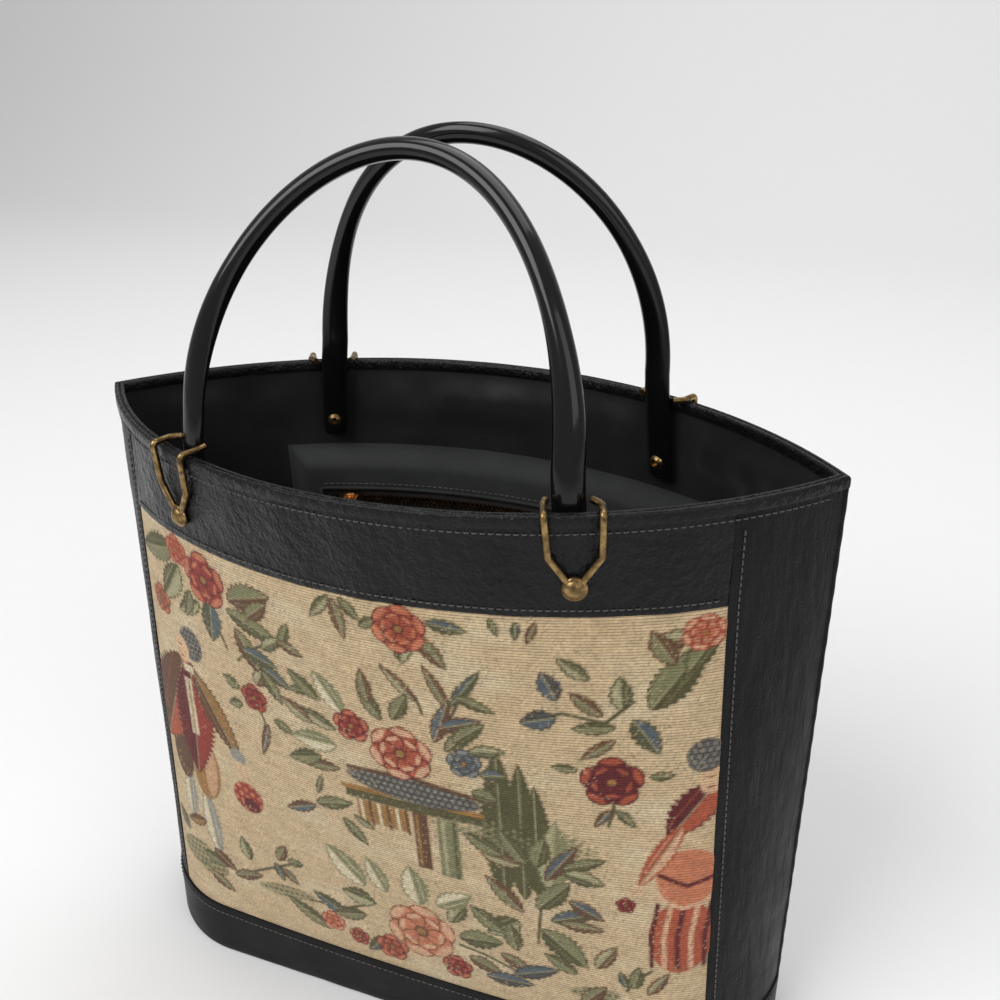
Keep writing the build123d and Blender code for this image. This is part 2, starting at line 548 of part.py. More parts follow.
def make_zip():
    for name, row in (("upper", 1), ("lower", -1)):
        low, high = sorted((ZIP_Z + row * TAPE_EDGE, ZIP_Z + row * TAPE_REACH))
        NODES["zip_tape_" + name] = sector(TAPE_NEAR, TAPE_FAR, TAPE_HALF, low, high)
        NODES["zip_teeth_" + name] = teeth(row)
    stops = []
    for centre, row in ((-STOP_HALF, 1), (-STOP_HALF, -1), (STOP_HALF, 1), (STOP_HALF, -1)):
        low, high = sorted((ZIP_Z + row * 0.1, ZIP_Z + row * TOOTH_ROOT))
        stop = sector(TOOTH_NEAR, TOOTH_FAR, 1.0, low, high, centre)
        stops.append(stop - NODES["zip_tape_upper"] - NODES["zip_tape_lower"])
    NODES["zip_stops"] = Compound(stops)
    near, far = slider_plates()
    NODES["zip_slider_front"] = on_arc(Pos(0, 0, ZIP_Z) * near, SLIDER_X)
    NODES["zip_slider_back"] = on_arc(Pos(0, 0, ZIP_Z) * far, SLIDER_X)
    NODES["zip_pull"] = on_arc(pull(), SLIDER_X)


make_shell()
make_tapestry()
make_handles()
make_pocket()
make_zip()

os.makedirs("parts", exist_ok=True)
for node, solid in NODES.items():
    export_step(solid, "parts/" + node + ".step")
print(len(NODES), "nodes")
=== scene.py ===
import json
import logging
from dataclasses import dataclass, field
from enum import Enum
from math import cos, pi, radians, sin, sqrt
from typing import Sequence

import bpy
import numpy as np
from mathutils import Matrix, Vector

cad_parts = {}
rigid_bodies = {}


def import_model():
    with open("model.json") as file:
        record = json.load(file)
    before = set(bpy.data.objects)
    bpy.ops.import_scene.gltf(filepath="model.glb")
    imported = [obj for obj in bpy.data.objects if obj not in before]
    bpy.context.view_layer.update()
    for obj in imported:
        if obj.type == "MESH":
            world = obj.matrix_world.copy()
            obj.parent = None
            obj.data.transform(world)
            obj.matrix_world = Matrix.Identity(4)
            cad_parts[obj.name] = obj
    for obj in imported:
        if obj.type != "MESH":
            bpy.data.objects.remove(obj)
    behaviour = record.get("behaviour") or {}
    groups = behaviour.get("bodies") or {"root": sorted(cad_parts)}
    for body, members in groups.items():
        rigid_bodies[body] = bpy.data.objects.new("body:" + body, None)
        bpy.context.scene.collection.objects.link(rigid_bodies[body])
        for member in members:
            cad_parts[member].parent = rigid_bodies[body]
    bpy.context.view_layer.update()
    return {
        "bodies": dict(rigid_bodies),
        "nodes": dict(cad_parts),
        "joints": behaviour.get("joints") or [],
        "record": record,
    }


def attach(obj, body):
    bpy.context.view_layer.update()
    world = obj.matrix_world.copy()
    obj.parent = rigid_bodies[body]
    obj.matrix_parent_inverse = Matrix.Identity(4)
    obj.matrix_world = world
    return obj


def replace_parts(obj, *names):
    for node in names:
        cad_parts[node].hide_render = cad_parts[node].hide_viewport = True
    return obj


logging.basicConfig(level=logging.INFO, format="%(message)s")
LOG = logging.getLogger("handbag")

Array = np.ndarray
Colour = tuple[float, float, float]
MM = 0.001


class Side(Enum):
    """The two long walls of the bag."""

    FRONT = -1
    REAR = 1


class Tone(Enum):
    """Dyes of the tapestry's wool, as display colours from 0 to 255."""

    GROUND = (200, 177, 140)
    OLIVE = (84, 80, 47)
    SAGE = (127, 126, 90)
    PALE = (168, 163, 126)
    RED = (146, 52, 38)
    BRICK = (170, 84, 56)
    PINK = (196, 122, 88)
    BLUSH = (214, 172, 138)
    CRIMSON = (94, 30, 32)
    SLATE = (86, 97, 103)
    GREY = (74, 69, 62)
    SILVER = (142, 141, 133)
    OCHRE = (154, 114, 62)
    BROWN = (98, 66, 42)
    SKIN = (214, 178, 140)
    CREAM = (216, 204, 172)


def linear(display: Sequence[float]) -> Array:
    """Turn display colours from 0 to 255 into linear light.

    Args:
        display: One colour or many, each channel from 0 to 255.

    Returns:
        The same colours as linear values from 0 to 1.
    """
    share = np.asarray(display, float) / 255.0
    return np.where(share <= 0.04045, share / 12.92, ((share + 0.055) / 1.055) ** 2.4)


def smooth(value: Array) -> Array:
    """Ease a value from 0 to 1, held at both ends."""
    held = np.clip(value, 0.0, 1.0)
    return held * held * (3.0 - 2.0 * held)


def ripple(x: Array, z: Array, length: float, seed: int, waves: int = 7) -> Array:
    """Soft unevenness made of a few crossing waves.

    Args:
        x: Place across, in millimetres.
        z: Place up, in millimetres.
        length: Usual wavelength, in millimetres.
        seed: Picks the waves, so that each piece has its own.
        waves: How many waves are added up.

    Returns:
        Values of about -1 to 1.
    """
    pick = np.random.default_rng(seed)
    total = np.zeros(np.broadcast(x, z).shape)
    for _ in range(waves):
        angle = pick.uniform(0.0, pi)
        number = 2.0 * pi / (length * pick.uniform(0.6, 1.7))
        phase = pick.uniform(0.0, 2.0 * pi)
        total = total + np.sin(number * (x * cos(angle) + z * sin(angle)) + phase)
    return total / sqrt(waves * 2.0)


@dataclass(frozen=True)
class BagForm:
    """The wall of the bag: a lens at the rim, an oblong at the base, straight between."""

    height: float = 291.0
    rim_radius: float = 215.149
    rim_centre: float = 133.149
    rim_split: float = 111.293
    base_flat: float = 108.0
    base_depth: float = 58.0
    base_end: float = 56.0
    middle: float = 0.62

    def point(self, side: Side, share: Array, z: Array, inset: Array) -> Array:
        """Points of one wall.

        Args:
            side: Front or rear wall.
            share: Place along the wall, from -1 at its left tip to 1 at its right.
            z: Height in millimetres.
            inset: Depth behind the leather's face, in millimetres.

        Returns:
            Points in metres, with the coordinates on the last axis.
        """
        share, z, inset = np.broadcast_arrays(
            np.asarray(share, float), np.asarray(z, float), np.asarray(inset, float)
        )
        up = z / self.height
        radius = self.rim_radius - inset
        split = np.arcsin(self.rim_split / radius)
        tip = np.arctan2(np.sqrt(radius**2 - self.rim_centre**2), self.rim_centre)
        near = np.clip(np.abs(share) / self.middle, 0.0, 1.0)
        far = np.clip((np.abs(share) - self.middle) / (1.0 - self.middle), 0.0, 1.0)
        angle = near * split + far * (tip - split)
        base_x = self.base_flat * near + (self.base_end - inset) * np.sin(far * pi / 2)
        base_y = (self.base_depth - inset) * np.cos(far * pi / 2)
        rim_y = radius * np.cos(angle) - self.rim_centre
        x = np.sign(share) * ((1.0 - up) * base_x + up * radius * np.sin(angle))
        y = side.value * ((1.0 - up) * base_y + up * rim_y)
        return np.stack([x, y, z], -1) * MM

    def share_of(self, x: Array, z: Array, inset: float = 0.0) -> Array:
        """Place along the wall of points given across and up.

        Args:
            x: Rows of places across, in millimetres.
            z: The height of each row, in millimetres.
            inset: Depth behind the leather's face, in millimetres.

        Returns:
            Shares from -1 to 1, of the shape of x.
        """
        marks = np.linspace(-1.0, 1.0, 1601)
        found = np.empty_like(np.asarray(x, float))
        for row, level in enumerate(np.asarray(z, float)):
            line = self.point(Side.FRONT, marks, level, inset)[:, 0] / MM
            found[row] = np.interp(x[row], line, marks)
        return found

    def ring(self, z: float, inset: float, count: int) -> Array:
        """A closed line round the bag.

        Args:
            z: Height in millimetres.
            inset: Depth behind the leather's face.
            count: Points on each wall.

        Returns:
            Points in metres, the front wall from left to right and then the rear.
        """
        share = np.linspace(-1.0, 1.0, count + 1)[:-1]
        front = self.point(Side.FRONT, share, z, inset)
        rear = self.point(Side.REAR, -share, z, inset)
        return np.concatenate([front, rear])

    def place(self, side: Side, x: float, z: float) -> tuple[Vector, Vector, Vector, Vector]:
        """A point of the leather's face and the directions there.

        Args:
            side: Front or rear wall.
            x: Place across, in millimetres.
            z: Height in millimetres.

        Returns:
            The point in millimetres, then the directions along, up and out.
        """
        share = float(self.share_of(np.array([[x]]), np.array([z]))[0, 0])
        step = 0.001
        here = self.point(side, share, z, 0.0)
        along = self.point(side, share + step, z, 0.0) - self.point(side, share - step, z, 0.0)
        low = self.point(side, share, 0.0, 0.0)
        high = self.point(side, share, self.height, 0.0)
        right = Vector(along).normalized()
        up = Vector(high - low).normalized()
        out = right.cross(up).normalized() * -side.value
        return Vector(here / MM), right, up, out


@dataclass
class MeshBuilder:
    """Collects the points and faces of one piece."""

    name: str
    points: list[Array] = field(default_factory=list)
    faces: list[Array] = field(default_factory=list)
    total: int = 0

    def grid(self, rows: Array, closed: bool = False, flip: bool = False,
             hole: Array | None = None) -> None:
        """Add a sheet of four-sided faces.

        Args:
            rows: Points in metres, in rows.
            closed: Whether the end of each row joins its start.
            flip: Turn the faces over.
            hole: True for the faces that are left out.
        """
        height, width = rows.shape[:2]
        index = np.arange(height * width).reshape(height, width) + self.total
        if closed:
            index = np.concatenate([index, index[:, :1]], axis=1)
        quads = np.stack([index[:-1, :-1], index[:-1, 1:], index[1:, 1:], index[1:, :-1]], -1)
        if hole is not None:
            quads = quads[~hole]
        quads = quads.reshape(-1, 4)
        self.faces.append(quads[:, ::-1] if flip else quads)
        self.points.append(rows.reshape(-1, 3))
        self.total += height * width

    def cap(self, ring: Array, flip: bool = False) -> None:
        """Close a ring with faces that meet at its middle.

        Args:
            ring: Points in metres, in order.
            flip: Turn the faces over.
        """
        centre = ring.mean(0, keepdims=True)
        count = len(ring)
        index = np.arange(count) + self.total
        middle = np.full(count, self.total + count)
        fan = np.stack([index, np.roll(index, -1), middle, middle], -1)
        self.faces.append(fan[:, ::-1] if flip else fan)
        self.points.append(np.concatenate([ring, centre]))
        self.total += count + 1

    def build(self, material: bpy.types.Material, body: str = "bag",
              crisp: float | None = None) -> bpy.types.Object:
        """Make the object and let it ride on its body.

        Args:
            material: The finish of the piece.
            body: The CAD body that it follows.
            crisp: Angle in degrees above which an edge stays sharp.

        Returns:
            The new object.
        """
        mesh = bpy.data.meshes.new(self.name)
        quads = np.concatenate(self.faces)
        faces = [tuple(dict.fromkeys(face)) for face in quads.tolist()]
        mesh.from_pydata(np.concatenate(self.points).tolist(), [], faces)
        mesh.polygons.foreach_set("use_smooth", np.ones(len(mesh.polygons), bool))
        if crisp is not None:
            mesh.set_sharp_from_angle(angle=radians(crisp))
        mesh.materials.append(material)
        mesh.update()
        made = bpy.data.objects.new(self.name, mesh)
        bpy.context.scene.collection.objects.link(made)
        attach(made, body)
        LOG.info("%s: %d points, %d faces", self.name, len(mesh.vertices), len(mesh.polygons))
        return made


@dataclass
class Shader:
    """Adds nodes to one material and joins them."""

    name: str
    material: bpy.types.Material = field(init=False)
    surface: bpy.types.Node = field(init=False)

    def __post_init__(self) -> None:
        """Start a material with its main shader."""
        self.material = bpy.data.materials.new(self.name)
        self.material.use_nodes = True
        self.surface = self.material.node_tree.nodes["Principled BSDF"]

    def add(self, kind: str, inputs: dict[str, object] | None = None,
            **settings: object) -> bpy.types.Node:
        """Add a node.

        Args:
            kind: Blender's name of the node.
            inputs: Values or sockets for its inputs.
            settings: Properties of the node.

        Returns:
            The new node.
        """
        node = self.material.node_tree.nodes.new(kind)
        for key, value in settings.items():
            setattr(node, key, value)
        for key, value in (inputs or {}).items():
            self.put(node.inputs[key], value)
        return node

    def put(self, socket: bpy.types.NodeSocket, value: object) -> None:
        """Give a socket a value or join another socket to it.

        Args:
            socket: The input.
            value: A number, a colour or an output socket.
        """
        if isinstance(value, bpy.types.NodeSocket):
            self.material.node_tree.links.new(value, socket)
        else:
            socket.default_value = value

    def set(self, **inputs: object) -> None:
        """Set inputs of the main shader.

        Args:
            inputs: Input names with underscores for spaces, and their values.
        """
        for key, value in inputs.items():
            self.put(self.surface.inputs[key.replace("_", " ")], value)

    def place(self, stretch: Colour = (1.0, 1.0, 1.0)) -> bpy.types.NodeSocket:
        """Object coordinates, scaled along each axis.

        Args:
            stretch: Scale along X, Y and Z.

        Returns:
            The socket with the coordinates.
        """
        source = self.add("ShaderNodeTexCoord").outputs["Object"]
        return self.add("ShaderNodeMapping", {"Vector": source, "Scale": stretch}).outputs[0]

    def noise(self, scale: float, stretch: Colour = (1.0, 1.0, 1.0),
              detail: float = 3.0) -> bpy.types.NodeSocket:
        """Noise of a given fineness.

        Args:
            scale: Cells per metre.
            stretch: Scale along each axis before that.
            detail: Levels of finer noise.

        Returns:
            The socket with values of about 0 to 1.
        """
        inputs = {"Vector": self.place(stretch), "Scale": scale, "Detail": detail}
        return self.add("ShaderNodeTexNoise", inputs).outputs[0]

    def cells(self, scale: float) -> bpy.types.NodeSocket:
        """Distance within rounded cells, for pebbled grain."""
        inputs = {"Vector": self.place(), "Scale": scale}
        return self.add("ShaderNodeTexVoronoi", inputs, feature="F1").outputs["Distance"]

    def mix(self, share: object, low: Sequence[float], high: Sequence[float]) -> bpy.types.NodeSocket:
        """Blend two colours.

        Args:
            share: A number or a socket, 0 for the first colour and 1 for the second.
            low: First colour, linear.
            high: Second colour, linear.

        Returns:
            The socket with the colour.
        """
        node = self.add("ShaderNodeMix", data_type="RGBA")
        self.put(node.inputs[0], share)
        for socket, value in ((node.inputs[6], low), (node.inputs[7], high)):
            self.put(socket, value if isinstance(value, bpy.types.NodeSocket) else (*value, 1.0))
        return node.outputs[2]

    def span(self, value: bpy.types.NodeSocket, low: float, high: float,
             start: float = 0.3, stop: float = 0.7) -> bpy.types.NodeSocket:
        """Spread a value over another range.

        Args:
            value: The socket that is spread.
            low: Result at start.
            high: Result at stop.
            start: Lower end of the value.
            stop: Upper end of the value.

        Returns:
            The socket with the result.
        """
        inputs = {"Value": value, "From Min": start, "From Max": stop, "To Min": low, "To Max": high}
        return self.add("ShaderNodeMapRange", inputs).outputs[0]

    def maths(self, operation: str, first: object, second: object = 0.0) -> bpy.types.NodeSocket:
        """Work out one operation on two values.

        Args:
            operation: Blender's name of it.
            first: A number or a socket.
            second: A number or a socket.

        Returns:
            The socket with the result.
        """
        node = self.add("ShaderNodeMath", operation=operation)
        self.put(node.inputs[0], first)
        self.put(node.inputs[1], second)
        return node.outputs[0]

    def bumps(self, layers: Sequence[tuple[bpy.types.NodeSocket, float]]) -> None:
        """Raise the surface by several patterns.

        Args:
            layers: Sockets with a height from 0 to 1, and how deep each is in metres.
        """
        normal = None
        for height, depth in layers:
            inputs = {"Height": height, "Distance": depth, "Strength": 1.0}
            if normal is not None:
                inputs["Normal"] = normal
            normal = self.add("ShaderNodeBump", inputs).outputs[0]
        self.set(Normal=normal)


@dataclass(frozen=True)
class LeatherFinish:
    """Dyed leather: pebbled grain, creases and wear."""

    name: str
    colour: Colour
    worn: Colour
    gloss: tuple[float, float]
    pebble: float = 700.0
    pebble_depth: float = 0.0003
    crease: float = 240.0
    crease_depth: float = 0.0016
    stretch: Colour = (1.0, 1.0, 0.8)
    coat: float = 0.1
    shine: float = 0.14

    def build(self) -> bpy.types.Material:
        """Make the material.

        Returns:
            The leather's material.
        """
        shader = Shader(self.name)
        patches = shader.noise(22.0)
        shader.set(
            Base_Color=shader.mix(shader.span(patches, 0.0, 1.0), self.colour, self.worn),
            Roughness=shader.span(shader.noise(60.0), *self.gloss),
            Coat_Weight=self.coat, Coat_Roughness=0.22, Specular_IOR_Level=self.shine,
        )
        shader.bumps([
            (shader.noise(self.crease, self.stretch, 4.0), self.crease_depth),
            (shader.cells(self.pebble), self.pebble_depth),
        ])
        return shader.material


@dataclass(frozen=True)
class ClothFinish:
    """Woven cloth with a fine crossing thread and an even sheen."""

    name: str
    colour: Colour
    light: Colour
    rough: float
    sheen: float
    thread: float = 0.0006
    depth: float = 0.00008

    def build(self) -> bpy.types.Material:
        """Make the material.

        Returns:
            The cloth's material.
        """
        shader = Shader(self.name)
        number = 2.0 * pi / self.thread
        axes = shader.add("ShaderNodeSeparateXYZ", {"Vector": shader.place()})
        warp = shader.maths("SINE", shader.maths("MULTIPLY", axes.outputs[0], number))
        weft = shader.maths("SINE", shader.maths("MULTIPLY", axes.outputs[2], number))
        weave = shader.span(shader.maths("MULTIPLY", warp, weft), 0.0, 1.0, -1.0, 1.0)
        cloud = shader.maths("MULTIPLY", weave, shader.span(shader.noise(45.0), 0.4, 1.0))
        shader.set(
            Base_Color=shader.mix(cloud, self.colour, self.light),
            Roughness=shader.span(shader.noise(30.0), self.rough - 0.06, self.rough + 0.06),
            Sheen_Weight=self.sheen, Sheen_Roughness=0.35, Specular_IOR_Level=0.4,
        )
        shader.bumps([(shader.noise(70.0, (1.0, 1.0, 0.4)), 0.0006), (weave, self.depth)])
        return shader.material


@dataclass(frozen=True)
class MetalFinish:
    """Old metal: bright where it is rubbed, dark in the hollows."""

    name: str
    bright: Colour
    dark: Colour
    rough: tuple[float, float] = (0.22, 0.5)

    def build(self) -> bpy.types.Material:
        """Make the material.

        Returns:
            The metal's material.
        """
        shader = Shader(self.name)
        stain = shader.span(shader.noise(260.0, detail=5.0), 0.0, 1.0, 0.38, 0.66)
        shader.set(
            Base_Color=shader.mix(stain, self.bright, self.dark),
            Metallic=1.0, Roughness=shader.span(stain, *self.rough, 0.0, 1.0),
        )
        shader.bumps([(shader.noise(900.0), 0.00005)])
        return shader.material


@dataclass(frozen=True)
class PlasticFinish:
    """Polished black plastic with faint hairlines."""

    name: str
    colour: Colour

    def build(self) -> bpy.types.Material:
        """Make the material.

        Returns:
            The plastic's material.
        """
        shader = Shader(self.name)
        rubbed = shader.noise(35.0, detail=4.0)
        shader.set(
            Base_Color=shader.mix(rubbed, self.colour, tuple(1.5 * part for part in self.colour)),
            Roughness=shader.span(rubbed, 0.1, 0.2), Coat_Weight=0.15, Coat_Roughness=0.06,
            Specular_IOR_Level=0.28,
        )
        shader.bumps([(shader.noise(1400.0), 0.00001)])
        return shader.material


@dataclass(frozen=True)
class WoolFinish:
    """The tapestry's ribbed weave over its dyed figures, with painted shade in the grooves between the
    ribs.
    """

    name: str = "tapestry"
    attribute: str = "dye"
    rib: float = 0.0013
    stitch: float = 0.0011
    slant: float = 0.42
    wander: float = 0.0005
    # Brown colour of the painted shade that darkens the dye in the grooves between the ribs.
    groove_shade: Colour = (0.22, 0.135, 0.075)

    def build(self) -> bpy.types.Material:
        """Make the material.

        Returns:
            The tapestry's material.
        """
        shader = Shader(self.name)
        dye = shader.add("ShaderNodeAttribute", attribute_name=self.attribute).outputs[0]
        axes = shader.add("ShaderNodeSeparateXYZ", {"Vector": shader.place()})
        wander = shader.maths("MULTIPLY", shader.noise(160.0), self.wander)
        level = shader.maths("ADD", axes.outputs[2], wander)
        rib = shader.maths("SINE", shader.maths("MULTIPLY", level, pi / self.rib))
        rib = shader.maths("ABSOLUTE", rib)
        warp = shader.maths("ADD", axes.outputs[0], shader.maths("MULTIPLY", level, self.slant))
        warp = shader.maths("SINE", shader.maths("MULTIPLY", warp, pi / self.stitch))
        warp = shader.maths("ABSOLUTE", warp)
        ridge = shader.maths("POWER", rib, 0.5)
        cloth = shader.maths("MULTIPLY", ridge, shader.span(warp, 0.8, 1.0, 0.0, 0.8))
        # Painted shade: the dye goes up to 0.72 of the way towards the brown in the grooves between the
        # ribs, where shade falls.
        groove_shade = shader.span(cloth, 0.72, 0.0, 0.12, 0.72)
        fibre = shader.span(shader.noise(700.0), 0.2, -0.05)
        # Multiplies the dye by the brown groove colour.
        depth = shader.add("ShaderNodeMixRGB", blend_type="MULTIPLY")
        # Amount of darkening: the painted groove shade plus a random fibre tone.
        shade_and_fibre = shader.maths("MAXIMUM", shader.maths("ADD", groove_shade, fibre), 0.0)
        shader.put(depth.inputs[0], shade_and_fibre)
        shader.put(depth.inputs[1], dye)
        shader.put(depth.inputs[2], (*self.groove_shade, 1.0))
        shader.set(
            Base_Color=depth.outputs[0], Roughness=shader.span(rib, 0.95, 0.8, 0.0, 1.0),
            Sheen_Weight=0.12, Sheen_Roughness=0.5, Specular_IOR_Level=0.2,
        )
        shader.bumps([(cloth, 0.00035), (shader.noise(900.0), 0.0001)])
        return shader.material


@dataclass(frozen=True)
class BoardFinish:
    """Grey-brown fibre board, pressed and speckled."""

    name: str = "fibre_board"

    def build(self) -> bpy.types.Material:
        """Make the material.

        Returns:
            The board's material.
        """
        shader = Shader(self.name)
        speck = shader.noise(500.0, detail=5.0)
        shader.set(
            Base_Color=shader.mix(shader.span(speck, 0.0, 1.0), (0.16, 0.12, 0.08), (0.3, 0.24, 0.17)),
            Roughness=shader.span(speck, 0.8, 0.95), Specular_IOR_Level=0.2,
        )
        shader.bumps([(speck, 0.0001)])
        return shader.material


@dataclass
class Finishes:
    """Every finish of the bag, made once."""

    made: dict[str, bpy.types.Material] = field(default_factory=dict)

    def build(self) -> None:
        """Make all the materials."""
        kinds = (
            LeatherFinish("band_leather", (0.004, 0.004, 0.0045), (0.007, 0.007, 0.008), (0.22, 0.36)),
            LeatherFinish("side_leather", (0.005, 0.005, 0.0055), (0.009, 0.009, 0.0095), (0.36, 0.5),
                          pebble=1100.0, pebble_depth=0.0002, crease=200.0, crease_depth=0.0014,
                          stretch=(1.0, 1.0, 0.22), coat=0.02, shine=0.12),
            LeatherFinish("base_leather", (0.006, 0.006, 0.006), (0.01, 0.01, 0.01), (0.4, 0.52),
                          pebble=1500.0, pebble_depth=0.00008, crease=60.0, crease_depth=0.0004,
                          stretch=(0.5, 0.5, 1.0), coat=0.0, shine=0.12),
            PlasticFinish("handle_plastic", (0.003, 0.003, 0.0032)),
            MetalFinish("antique_brass", (0.33, 0.215, 0.09), (0.08, 0.052, 0.024)),
            MetalFinish("zip_bronze", (0.72, 0.47, 0.27), (0.36, 0.2, 0.1), (0.18, 0.36)),
            ClothFinish("lining", (0.008, 0.008, 0.009), (0.024, 0.024, 0.026),
                        rough=0.32, sheen=0.45, thread=0.0007, depth=0.00003),
            ClothFinish("pocket_cloth", (0.008, 0.0095, 0.0085), (0.036, 0.041, 0.037),
                        rough=0.6, sheen=0.15, thread=0.0009, depth=0.0002),
            ClothFinish("zip_tape", (0.008, 0.008, 0.008), (0.035, 0.035, 0.034),
                        rough=0.7, sheen=0.2, thread=0.001, depth=0.00015),
            # Painted sheen: the stitches are glossy black thread, and these grey colours stand in for
            # their shine.
            ClothFinish("thread", (0.05, 0.048, 0.044), (0.13, 0.125, 0.115),
                        rough=0.4, sheen=0.2, thread=0.0004, depth=0.00006),
            WoolFinish(), BoardFinish(),
        )
        for kind in kinds:
            self.made[kind.name] = kind.build()
            LOG.info("finish %s", kind.name)

    def of(self, name: str) -> bpy.types.Material:
        """The material of that name."""
        return self.made[name]

    def dress(self, nodes: Sequence[str], name: str, frame: dict) -> None:
        """Give CAD nodes that stay in view their finish.

        Args:
            nodes: Names of the nodes.
            name: Name of the finish.
        """
        for node in nodes:
            slots = frame["nodes"][node].data.materials
            slots.clear()
            slots.append(self.of(name))
            LOG.info("%s wears %s", node, name)


def edged(length: float, step: float, lip: float = 1.0) -> tuple[Array, Array]:
    """Lines across a panel, close together at its rounded edges.

    Args:
        length: Size of the panel, in millimetres.
        step: Spacing of the lines inside.
        lip: Width of the rounded edge.

    Returns:
        Shares from 0 to 1, and how far each line has dropped at the edge, 2 for the turned edge.
    """
    near = np.array([0.0, 0.0, 0.1, 0.4, 1.0]) * lip
    inner = np.linspace(lip, length - lip, max(3, int(length / step)))[1:-1]
    marks = np.concatenate([near, inner, length - near[::-1]])
    edge = np.clip(np.minimum(marks, length - marks) / lip, 0.0, 1.0)
    drop = 1.0 - np.sqrt(np.clip(1.0 - (1.0 - edge) ** 2, 0.0, 1.0))
    drop[0] = drop[-1] = 2.0
    return marks / length, drop


@dataclass
class LeatherShell:
    """The leather over the boards, the base, the welts and the bound rim."""

    form: BagForm
    finishes: Finishes
    panel_top: float = 248.5
    panel_half_top: float = 134.3
    panel_half_low: float = 139.4
    band_top: float = 30.0
    wall_top: float = 290.0
    leather: float = 1.2
    rounding: float = 0.45
    rivets: tuple[tuple[float, float], ...] = ((-90.0, 262.0), (83.0, 262.0))
    rear_rivets: tuple[tuple[float, float], ...] = ((-86.5, 262.0), (86.5, 262.0))
    rivet_hold: float = 7.0
    rivet_fade: float = 14.0
    broad_crease: float = 26.0
    fine_crease: float = 7.5
    wall_half: float = 195.0
    wave_half: float = 190.0
    wave_length: float = 23.0
    edge_lines: int = 256
    welt_radius: float = 1.35
    welt_inset: float = 0.5
    welt_top: float = 286.5

    def panel_edge(self, z: Array) -> Array:
        """Half width of the tapestry at a height."""
        share = np.clip((z - self.band_top) / (self.panel_top - self.band_top), 0.0, 1.0)
        return self.panel_half_low + (self.panel_half_top - self.panel_half_low) * share

    def relief(self, x: Array, z: Array, seed: int, height: float,
               quiet: Sequence[tuple[float, float]]) -> Array:
        """Soft creases of a leather panel.

        Args:
            x: Places across, in millimetres.
            z: Heights in millimetres.
            seed: Picks the creases.
            height: How far the highest crease stands out.
            quiet: Places that the hardware holds down.

        Returns:
            Height of the leather above its plain face.
        """
        broad = ripple(x, z * 0.5, self.broad_crease, seed)
        fine = np.abs(ripple(x, z, self.fine_crease, seed + 1)) - 0.5
        total = height * (0.6 * broad + 0.3 * fine)
        for at_x, at_z in quiet:
            gap = np.hypot(x - at_x, z - at_z) - self.rivet_hold
            total = total * smooth(gap / self.rivet_fade)
        return total

    def panel(self, name: str, side: Side, edges: tuple[Array, Array], levels: tuple[float, float],
              step: float, seed: int, height: float, quiet: Sequence[tuple[float, float]],
              finish: str) -> bpy.types.Object:
        """One piece of leather with turned edges.

        Args:
            name: Name of the piece.
            side: Front or rear wall.
            edges: Shares of its left and right edge, evenly spaced in height.
            levels: Its lowest and highest height.
            step: Spacing of its points, in millimetres.
            seed: Picks its creases.
            height: Height of its creases.
            quiet: Places that the hardware holds down.
            finish: Name of its finish.

        Returns:
            The new object.
        """
        low, high = levels
        up, drop_up = edged(high - low, step)
        z = low + (high - low) * up
        marks = np.linspace(low, high, len(edges[0]))
        left, right = (np.interp(z, marks, line) for line in edges)
        reach = self.wall_half * float(np.mean(right - left))
        across, drop_across = edged(reach, step)
        share = left[:, None] + (right - left)[:, None] * across[None, :]
        plain = self.form.point(side, share, z[:, None], 0.0) / MM
        drop = np.maximum(drop_up[:, None], drop_across[None, :])
        lift = self.relief(plain[..., 0], plain[..., 2], seed, height, quiet)
        lift = lift * smooth((1.0 - np.clip(drop, 0.0, 1.0)) * 2.0)
        inset = np.where(drop > 1.0, self.leather, self.rounding * drop - lift)
        mesh = MeshBuilder(name)
        mesh.grid(self.form.point(side, share, z[:, None], inset), flip=side is Side.REAR)
        made = mesh.build(self.finishes.of(finish))
        return made

    def swept(self, name: str, profile: Sequence[tuple[float, float]], count: int,
              finish: str, wave: float = 0.0) -> bpy.types.Object:
        """A strip carried round the bag.

        Args:
            name: Name of the piece.
            profile: Heights and insets of its lines.
            count: Points on each wall.
            finish: Name of its finish.
            wave: How uneven it is, in millimetres.

        Returns:
            The new object.
        """
        share = np.linspace(-1.0, 1.0, count + 1)[:-1]
        waves = ripple(share * self.wave_half, share * 0.0, self.wave_length, 91)
        uneven = wave * waves * (1.0 - share**2)
        rows = []
        for z, inset in profile:
            walls = [self.form.point(side, hand * share, z, inset - uneven)
                     for side, hand in ((Side.FRONT, 1.0), (Side.REAR, -1.0))]
            rows.append(np.concatenate(walls))
        mesh = MeshBuilder(name)
        mesh.grid(np.array(rows), closed=True)
        if profile[-1][0] <= 0.0:
            line = rows[-1].copy()
            line[:, 1] = 0.0
            mesh.grid(np.array([rows[-1], line]), closed=True)
        return mesh.build(self.finishes.of(finish), crisp=50.0)

    def welt(self, name: str, end: int) -> bpy.types.Object:
        """A rolled strip down one side seam.

        Args:
            name: Name of the piece.
            end: -1 for the left end and 1 for the right.

        Returns:
            The new object.
        """
        z = np.linspace(self.band_top, self.welt_top, 180)
        tip = self.form.point(Side.FRONT, np.full_like(z, float(end)), z, self.welt_inset)
        turn = np.linspace(0.0, 2.0 * pi, 19)[:-1]
        wide = (self.welt_radius + 0.08 * np.sin(z / 1.9)) * MM
        ring = np.stack([np.cos(turn), np.sin(turn), 0.0 * turn], -1)
        mesh = MeshBuilder(name)
        rows = tip[:, None, :] + wide[:, None, None] * ring[None]
        mesh.grid(rows, closed=True)
        return mesh.build(self.finishes.of("side_leather"))

